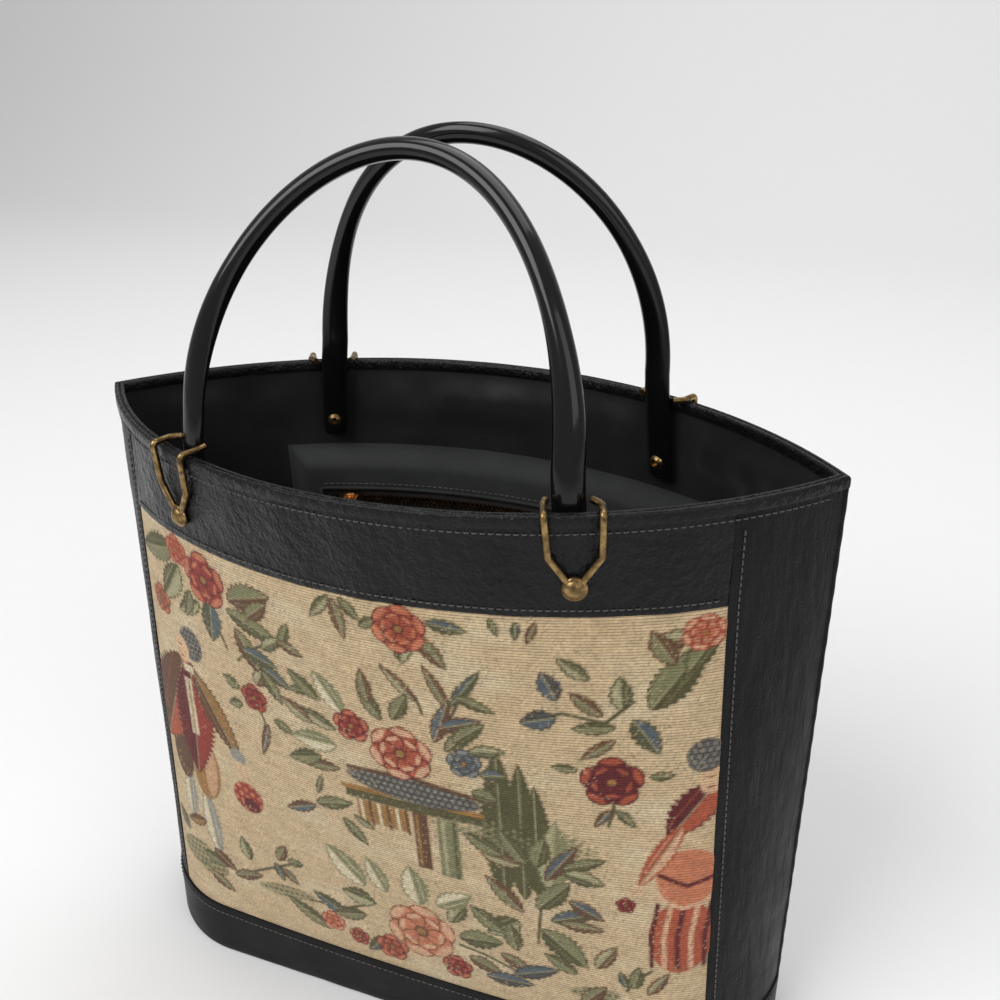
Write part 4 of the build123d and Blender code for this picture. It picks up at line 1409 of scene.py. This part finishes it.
@dataclass
class Pocket:
    """The zipped pocket on the rear lining: its cloth and the bound edges of its slot."""

    form: BagForm
    finishes: Finishes
    half: float = 109.0
    low: float = 95.0
    top: float = 247.0
    slot_half: float = 92.0
    slot_low: float = 211.5
    slot_top: float = 224.5
    wall: float = 3.3
    stand: float = 6.3

    def lift(self, x: Array, z: Array) -> Array:
        """How far the cloth stands off the lining.

        Args:
            x: Places across, in millimetres.
            z: Heights in millimetres.

        Returns:
            Millimetres off the lining.
        """
        edge = np.minimum(self.half - np.abs(x), np.minimum(z - self.low, self.top - z))
        stand = 0.7 + (self.stand - 0.7) * smooth(edge / 12.0)
        sag = 0.9 * ripple(x, z * 0.6, 34.0, 41) + 0.35 * ripple(x, z, 11.0, 43)
        free = smooth((self.slot_low - 8.0 - z) / 20.0) * smooth(edge / 16.0)
        return stand + sag * free

    def marks(self, stops: Sequence[float], step: float) -> Array:
        """Lines across the cloth that meet each stop.

        Args:
            stops: Places that have a line of their own.
            step: Spacing between them.

        Returns:
            The lines in order.
        """
        parts = [np.linspace(a, b, max(2, int((b - a) / step)), endpoint=False)
                 for a, b in zip(stops[:-1], stops[1:])]
        return np.append(np.concatenate(parts), stops[-1])

    def surface(self, x: Array, z: Array, proud: float = 0.0) -> Array:
        """Points on the face of the pocket.

        Args:
            x: Rows of places across.
            z: Height of each row.
            proud: Distance in front of its face.

        Returns:
            Points in metres.
        """
        inset = self.wall + self.lift(x, z[:, None]) + proud
        share = self.form.share_of(x, z, self.wall + self.stand)
        return self.form.point(Side.REAR, share, z[:, None], inset)

    def build(self) -> None:
        """Make the cloth with its slot and the bound edges."""
        x = self.marks((-self.half, -self.slot_half, self.slot_half, self.half), 1.6)
        z = self.marks((self.low, self.slot_low, self.slot_top, self.top), 1.6)
        grid = np.broadcast_to(x[None, :], (len(z), len(x)))
        middle_x, middle_z = (x[:-1] + x[1:]) / 2, (z[:-1] + z[1:]) / 2
        hole = (np.abs(middle_x)[None, :] < self.slot_half) & (
            (middle_z > self.slot_low) & (middle_z < self.slot_top))[:, None]
        mesh = MeshBuilder("pocket_face")
        mesh.grid(self.surface(grid, z), hole=hole)
        made = mesh.build(self.finishes.of("pocket_cloth"))
        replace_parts(made, "pocket_upper", "pocket_lower")
        hem = self.hem()

    def hem(self) -> bpy.types.Object:
        """The turned edge round the slot.

        Returns:
            The hem.
        """
        corner = np.linspace(-self.slot_half, self.slot_half, 150)
        path = [(x, self.slot_low) for x in corner] + [(x, self.slot_top) for x in corner[::-1]]
        line = np.array([self.surface(np.array([[x]]), np.array([z]))[0, 0] for x, z in path])
        turn = np.linspace(0.0, 2.0 * pi, 9)[:-1]
        ahead = np.roll(line, -1, 0) - np.roll(line, 1, 0)
        ahead /= np.linalg.norm(ahead, axis=1)[:, None]
        out = np.tile([0.0, -1.0, 0.0], (len(line), 1))
        side = np.cross(ahead, out)
        side /= np.linalg.norm(side, axis=1)[:, None]
        ring = (np.cos(turn)[None, :, None] * out[:, None] * 0.55
                + np.sin(turn)[None, :, None] * side[:, None] * 0.9)
        rows = line[:, None] + ring * MM
        mesh = MeshBuilder("pocket_hem")
        mesh.grid(np.concatenate([rows, rows[:1]]), closed=True)
        return mesh.build(self.finishes.of("pocket_cloth"))


@dataclass
class Zip:
    """Woven tapes under the metal chain, and the metal itself."""

    finishes: Finishes
    frame: dict
    axis_y: float = -206.0
    level: float = 218.0
    radius: float = 274.2
    half: float = 97.0
    edge: float = 1.2
    reach: float = 12.0

    def build(self) -> None:
        """Make both tapes and dress the metal."""
        self.finishes.dress(("zip_teeth_upper", "zip_teeth_lower", "zip_stops", "zip_slider_front",
                             "zip_slider_back", "zip_pull"), "zip_bronze", self.frame)
        for name, row in (("upper", 1.0), ("lower", -1.0)):
            along = np.linspace(-self.half, self.half, 240)
            up = np.linspace(self.edge, self.reach, 12)
            turn = along / self.radius
            slack = 0.12 * np.sin(along / 3.1)[None, :] * smooth((up[:, None] - 4.0) / 6.0)
            radius = self.radius + slack
            points = np.stack([
                radius * np.sin(turn)[None, :], self.axis_y + radius * np.cos(turn)[None, :],
                np.broadcast_to(self.level + row * up[:, None], radius.shape),
            ], -1) * MM
            mesh = MeshBuilder("tape_" + name)
            mesh.grid(points, flip=row < 0)
            made = mesh.build(self.finishes.of("zip_tape"))
            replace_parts(made, "zip_tape_" + name)


@dataclass(frozen=True)
class HandleShape:
    """What sets one handle apart from the other."""

    name: str
    side: Side
    shift: float
    lean: float
    bow: float


@dataclass
class Handles:
    """Two polished arched bars with a crisp edge round their rounded face."""

    form: BagForm
    finishes: Finishes
    rivet_z: float = 262.0
    rivet_half: float = 86.5
    wall: float = 3.3
    gap: float = 0.9
    leg: tuple[float, float] = (12.6, 6.4)
    crown: tuple[float, float] = (8.8, 9.2)
    outer: float = 0.62
    spring_half: float = 80.5
    spring_up: float = 12.0
    arch: float = 101.0
    foot: float = 8.5
    shapes: tuple[HandleShape, ...] = (
        HandleShape("front", Side.FRONT, -3.5, 8.0, 34.0),
        HandleShape("rear", Side.REAR, 0.0, -11.0, 37.0),
    )

    def feet(self, shape: HandleShape) -> list[tuple[Vector, float]]:
        """Centre and turn of each leg at its rivet.

        Args:
            shape: The handle.

        Returns:
            The left and the right leg.
        """
        found = []
        for end in (-1, 1):
            across = end * self.rivet_half + shape.shift
            face, along, _, out = self.form.place(shape.side, across, self.rivet_z)
            centre = face - out * (self.wall + self.gap + self.leg[1] * self.outer)
            found.append((centre, shape.side.value * np.arctan2(abs(along.y), along.x)))
        return found

    def centre(self, shape: HandleShape, feet: Sequence[tuple[Vector, float]], s: float) -> Vector:
        """Middle line of the bar.

        Args:
            shape: The handle.
            feet: Its legs.
            s: Below 0 on the left leg, 0 to 1 round the arch, above 1 on the right leg.

        Returns:
            The point in millimetres.
        """
        left, right = feet[0][0], feet[1][0]
        if 0.0 <= s <= 1.0:
            across = -self.spring_half * cos(pi * s)
            rise = self.spring_up + self.arch * sin(pi * s)
        else:
            leg = -s if s < 0 else s - 1.0
            rise = self.spring_up - leg * (self.form.height + self.spring_up - self.rivet_z)
            spread = self.spring_half + leg * ((right.x - left.x) / 2 - self.spring_half)
            across = -spread if s < 0 else spread
        share = min(max((1.0 + across / self.spring_half) / 2, 0.0), 1.0)
        slope = sin(radians(shape.lean))
        curve = slope * max(rise + self.spring_up, 0.0) ** 2 / (4 * self.spring_up)
        inward = slope * rise if rise > self.spring_up else curve
        inward += shape.bow * (max(rise, 0.0) / (self.spring_up + self.arch)) ** 2
        depth = left.y + (right.y - left.y) * share
        x = (left.x + right.x) / 2 + across
        return Vector((x, depth - shape.side.value * inward, self.form.height + rise))

    def section(self, shape: HandleShape, feet: Sequence[tuple[Vector, float]], s: float,
                scale: float) -> Array:
        """Outline of the bar at one place.

        Args:
            shape: The handle.
            feet: Its legs.
            s: Place along it.
            scale: Size of the outline against the full one.

        Returns:
            Points in metres.
        """
        step = 0.002
        tangent = (self.centre(shape, feet, s + step) - self.centre(shape, feet, s - step)).normalized()
        inner = Vector((tangent.z, 0.0, -tangent.x)).normalized()
        leg = float(smooth(1.0 - min(s, 1.0 - s) / 0.22))
        twist = feet[0][1] if s < 0.5 else feet[1][1]
        across = Matrix.Rotation(twist * leg, 3, tangent) @ inner
        back = tangent.cross(across).normalized()
        wide = scale * (self.crown[0] + (self.leg[0] - self.crown[0]) * leg) / 2
        thick = scale * (self.crown[1] + (self.leg[1] - self.crown[1]) * leg)
        hand = shape.side.value
        bulge = np.linspace(0.0, pi, 17)
        flat = np.linspace(pi, 2 * pi, 9)[1:-1]
        inside = 1 - self.outer
        u = np.concatenate([wide * np.cos(bulge), wide * np.cos(flat)])
        v = np.concatenate([thick * self.outer * np.sin(bulge), thick * inside * np.sin(flat)])
        middle = np.array(self.centre(shape, feet, s))
        points = middle + u[:, None] * np.array(across) + (hand * v)[:, None] * np.array(back)
        return points * MM

    def build(self) -> None:
        """Make both bars."""
        reach = self.form.height + self.spring_up - self.rivet_z
        end = (reach + self.foot) / reach
        legs = [(end, 0.55), (end - 0.02, 0.84), (end - 0.05, 0.96), (end - 0.12, 1.0)]
        legs += [(float(part), 1.0) for part in np.linspace(end - 0.2, 0.05, 16)]
        for shape in self.shapes:
            feet = self.feet(shape)
            stations = [(-leg, scale) for leg, scale in legs]
            stations += [(float(part), 1.0) for part in np.linspace(0.0, 1.0, 150)]
            stations += [(1.0 + leg, scale) for leg, scale in reversed(legs)]
            rows = np.array([self.section(shape, feet, s, scale) for s, scale in stations])
            flip = shape.side is Side.FRONT
            mesh = MeshBuilder(shape.name + "_bar")
            mesh.grid(rows, closed=True, flip=flip)
            mesh.cap(rows[0], flip=not flip)
            mesh.cap(rows[-1], flip=flip)
            made = mesh.build(self.finishes.of("handle_plastic"), crisp=38.0)
            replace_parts(made, shape.name + "_handle")


@dataclass
class Hardware:
    """Wire keepers, rivets, caps and the hidden boards, as modelled."""

    finishes: Finishes
    frame: dict

    def build(self) -> None:
        """Dress every kept node."""
        brass = [f"{wall}_{kind}_{hand}" for wall in ("front", "rear")
                 for kind in ("keeper", "rivet", "cap") for hand in ("left", "right")]
        self.finishes.dress(brass, "antique_brass", self.frame)
        self.finishes.dress(("front_board", "rear_board", "base_board"), "fibre_board", self.frame)


@dataclass
class Stitching:
    """Runs of sewn thread on the leather and the pocket."""

    form: BagForm
    finishes: Finishes
    pitch: float = 3.0
    length: float = 2.2
    thick: float = 0.3
    rim_z: float = 283.6
    band_z: float = 251.7
    base_z: float = 26.4
    side_gap: float = 3.2
    slot_gap: float = 2.6
    marks: int = 400

    def run(self, name: str, line: Array, above: Array) -> bpy.types.Object:
        """Stitches along a line.

        Args:
            name: Name of the piece.
            line: Points of the line in metres.
            above: The same points a little above the surface.

        Returns:
            The new object.
        """
        steps = np.linalg.norm(np.diff(line, axis=0), axis=1) / MM
        place = np.concatenate([[0.0], np.cumsum(steps)])
        count = int(place[-1] / self.pitch)
        margin = (place[-1] - (count - 1) * self.pitch - self.length) / 2
        share = np.array([0.0, 0.12, 0.5, 0.88, 1.0])
        bow = np.array([-0.25, 0.1, 0.3, 0.1, -0.25])
        girth = np.array([0.5, 0.9, 1.0, 0.9, 0.5])
        turn = np.linspace(0.0, 2 * pi, 7)[:-1]
        upward, sideways = np.cos(turn)[None, :, None], np.sin(turn)[None, :, None]
        mesh = MeshBuilder(name)
        for number in range(count):
            marks = margin + number * self.pitch + share * self.length
            at = np.stack([np.interp(marks, place, line[:, axis]) for axis in range(3)], -1)
            top = np.stack([np.interp(marks, place, above[:, axis]) for axis in range(3)], -1)
            out = top - at
            out /= np.linalg.norm(out, axis=1)[:, None]
            ahead = at[-1] - at[0]
            side = np.cross(ahead / np.linalg.norm(ahead), out)
            ring = upward * out[:, None] + sideways * side[:, None]
            middle = at + out * bow[:, None] * MM
            rows = middle[:, None] + ring * girth[:, None, None] * self.thick * MM
            mesh.grid(rows, closed=True)
        return mesh.build(self.finishes.of("thread"))

    def wall_run(self, name: str, side: Side, share: Array, z: Array,
                 inset: float = 0.0) -> None:
        """Stitches along a line of a wall.

        Args:
            name: Name of the piece.
            side: Front or rear wall.
            share: Places along the wall.
            z: Heights in millimetres.
            inset: Depth of the surface, negative where it is proud.
        """
        line = self.form.point(side, share, z, inset)
        above = self.form.point(side, share, z, inset - 1.0)
        self.run(name, line, above)

    def build(self, shell: LeatherShell, pocket: Pocket) -> None:
        """Sew every run.

        Args:
            shell: The leather, for the edges of the panel.
            pocket: The pocket, for the edges of its slot.
        """
        wide = np.linspace(-0.965, 0.965, self.marks)
        for side in Side:
            rim = np.full(self.marks, self.rim_z)
            self.wall_run("rim_stitches_" + side.name.lower(), side, wide, rim)
        half = float(shell.panel_edge(np.array(252.0)))
        inner = float(self.form.share_of(np.array([[half]]), np.array([252.0]))[0, 0])
        line = np.linspace(-inner, inner, self.marks) * 0.985
        self.wall_run("band_stitches", Side.FRONT, line, np.full(self.marks, self.band_z),
                      -0.1)
        z = np.linspace(33.0, 280.0, 300)
        edge = shell.panel_edge(z) + self.side_gap
        share = self.form.share_of(edge[:, None], z)[:, 0]
        for name, hand in (("left", -1.0), ("right", 1.0)):
            self.wall_run("side_stitches_" + name, Side.FRONT, hand * share, z, -0.1)
        for side in Side:
            base = np.full(self.marks, self.base_z)
            self.wall_run("base_stitches_" + side.name.lower(), side, wide, base,
                          -0.95)
        x = np.linspace(-91.0, 91.0, 300)
        lines = (pocket.slot_top + self.slot_gap, pocket.slot_low - self.slot_gap)
        for name, height in zip(("top", "low"), lines):
            level = np.array([height])
            line = pocket.surface(x[None, :], level)[0]
            above = pocket.surface(x[None, :], level, 1.0)[0]
            self.run("pocket_stitches_" + name, line, above)


@dataclass
class Studio:
    """Pale floor, soft light and the camera."""

    place: Vector = field(default_factory=lambda: Vector((0.189858, -0.392109, 0.462236)))
    yaw: float = 0.391132
    pitch: float = 0.446849
    roll: float = -0.026018
    lens: float = 39.4605
    floor: Colour = (0.82, 0.82, 0.815)
    sky: Colour = (0.42, 0.42, 0.43)
    sweep_start: float = 1.6
    sweep_bend: float = 1.2

    def floor_and_sky(self) -> None:
        """Lay the floor and set the plain sky."""
        shader = Shader("paper")
        grain = shader.noise(40.0)
        shader.set(Base_Color=shader.mix(grain, self.floor, tuple(0.985 * part for part in self.floor)),
                   Roughness=shader.span(grain, 0.85, 0.95), Specular_IOR_Level=0.1)
        turn = np.linspace(0.0, pi / 2, 24)
        bend = self.sweep_bend
        wall = self.sweep_start + bend
        run = np.concatenate([[-5.0], self.sweep_start + bend * np.sin(turn), [wall]])
        rise = np.concatenate([[0.0], bend * (1.0 - np.cos(turn)), [5.0]])
        sweep = np.array([[(x, y, z - 0.0002) for x in (-7.0, 7.0)] for y, z in zip(run, rise)])
        height, width = sweep.shape[:2]
        index = np.arange(height * width).reshape(height, width)
        quads = np.stack([index[:-1, :-1], index[:-1, 1:], index[1:, 1:], index[1:, :-1]], -1)
        mesh = bpy.data.meshes.new("floor")
        mesh.from_pydata(sweep.reshape(-1, 3).tolist(), [], quads.reshape(-1, 4).tolist())
        mesh.polygons.foreach_set("use_smooth", np.ones(len(mesh.polygons), bool))
        mesh.materials.append(shader.material)
        floor = bpy.data.objects.new("floor", mesh)
        bpy.context.scene.collection.objects.link(floor)
        world = bpy.data.worlds.new("sky")
        bpy.context.scene.world = world
        world.use_nodes = True
        sky = world.node_tree.nodes["Background"]
        sky.inputs["Color"].default_value = (*self.sky, 1.0)

    def lamp(self, name: str, place: Sequence[float], aim: Sequence[float], size: float,
             power: float) -> None:
        """Hang one soft lamp.

        Args:
            name: Name of the lamp.
            place: Where it hangs, in metres.
            aim: The point it faces.
            size: Width of its square.
            power: Its power in watts.
        """
        data = bpy.data.lights.new(name, "AREA")
        data.size = size
        data.energy = power
        lamp = bpy.data.objects.new(name, data)
        bpy.context.scene.collection.objects.link(lamp)
        lamp.location = Vector(place)
        lamp.rotation_mode = "QUATERNION"
        lamp.rotation_quaternion = (Vector(aim) - Vector(place)).to_track_quat("-Z", "Y")

    def camera(self) -> None:
        """Set the camera at the photograph's viewing angle."""
        level = cos(self.pitch)
        forward = Vector((-sin(self.yaw) * level, cos(self.yaw) * level, -sin(self.pitch)))
        right = Vector((cos(self.yaw), sin(self.yaw), 0.0))
        up = right.cross(forward)
        right, up = (cos(self.roll) * right + sin(self.roll) * up,
                     cos(self.roll) * up - sin(self.roll) * right)
        data = bpy.data.cameras.new("camera")
        data.lens = self.lens
        data.sensor_width = 36.0
        camera = bpy.data.objects.new("camera", data)
        bpy.context.scene.collection.objects.link(camera)
        turned = Matrix((right, up, -forward)).transposed().to_4x4()
        camera.matrix_world = Matrix.Translation(self.place) @ turned
        bpy.context.scene.camera = camera

    def build(self) -> None:
        """Set up the whole studio."""
        self.floor_and_sky()
        self.lamp("key", (-0.9, -1.4, 2.0), (0.0, 0.2, 0.1), 1.6, 38.0)
        self.lamp("fill", (1.7, -1.1, 1.4), (0.0, 0.2, 0.2), 1.6, 12.0)
        self.lamp("top", (0.1, 0.9, 2.2), (0.0, 0.6, 0.2), 1.8, 22.0)
        self.camera()
        bpy.context.scene.view_settings.view_transform = "Standard"


def main() -> None:
    """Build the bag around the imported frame."""
    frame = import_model()
    form = BagForm()
    finishes = Finishes()
    finishes.build()
    shell = LeatherShell(form, finishes)
    pocket = Pocket(form, finishes)
    shell.build()
    Tapestry(form, finishes).build()
    Lining(form, finishes).build()
    pocket.build()
    Zip(finishes, frame).build()
    Handles(form, finishes).build()
    Hardware(finishes, frame).build()
    Stitching(form, finishes).build(shell, pocket)
    Studio().build()


if __name__ == "__main__":
    main()
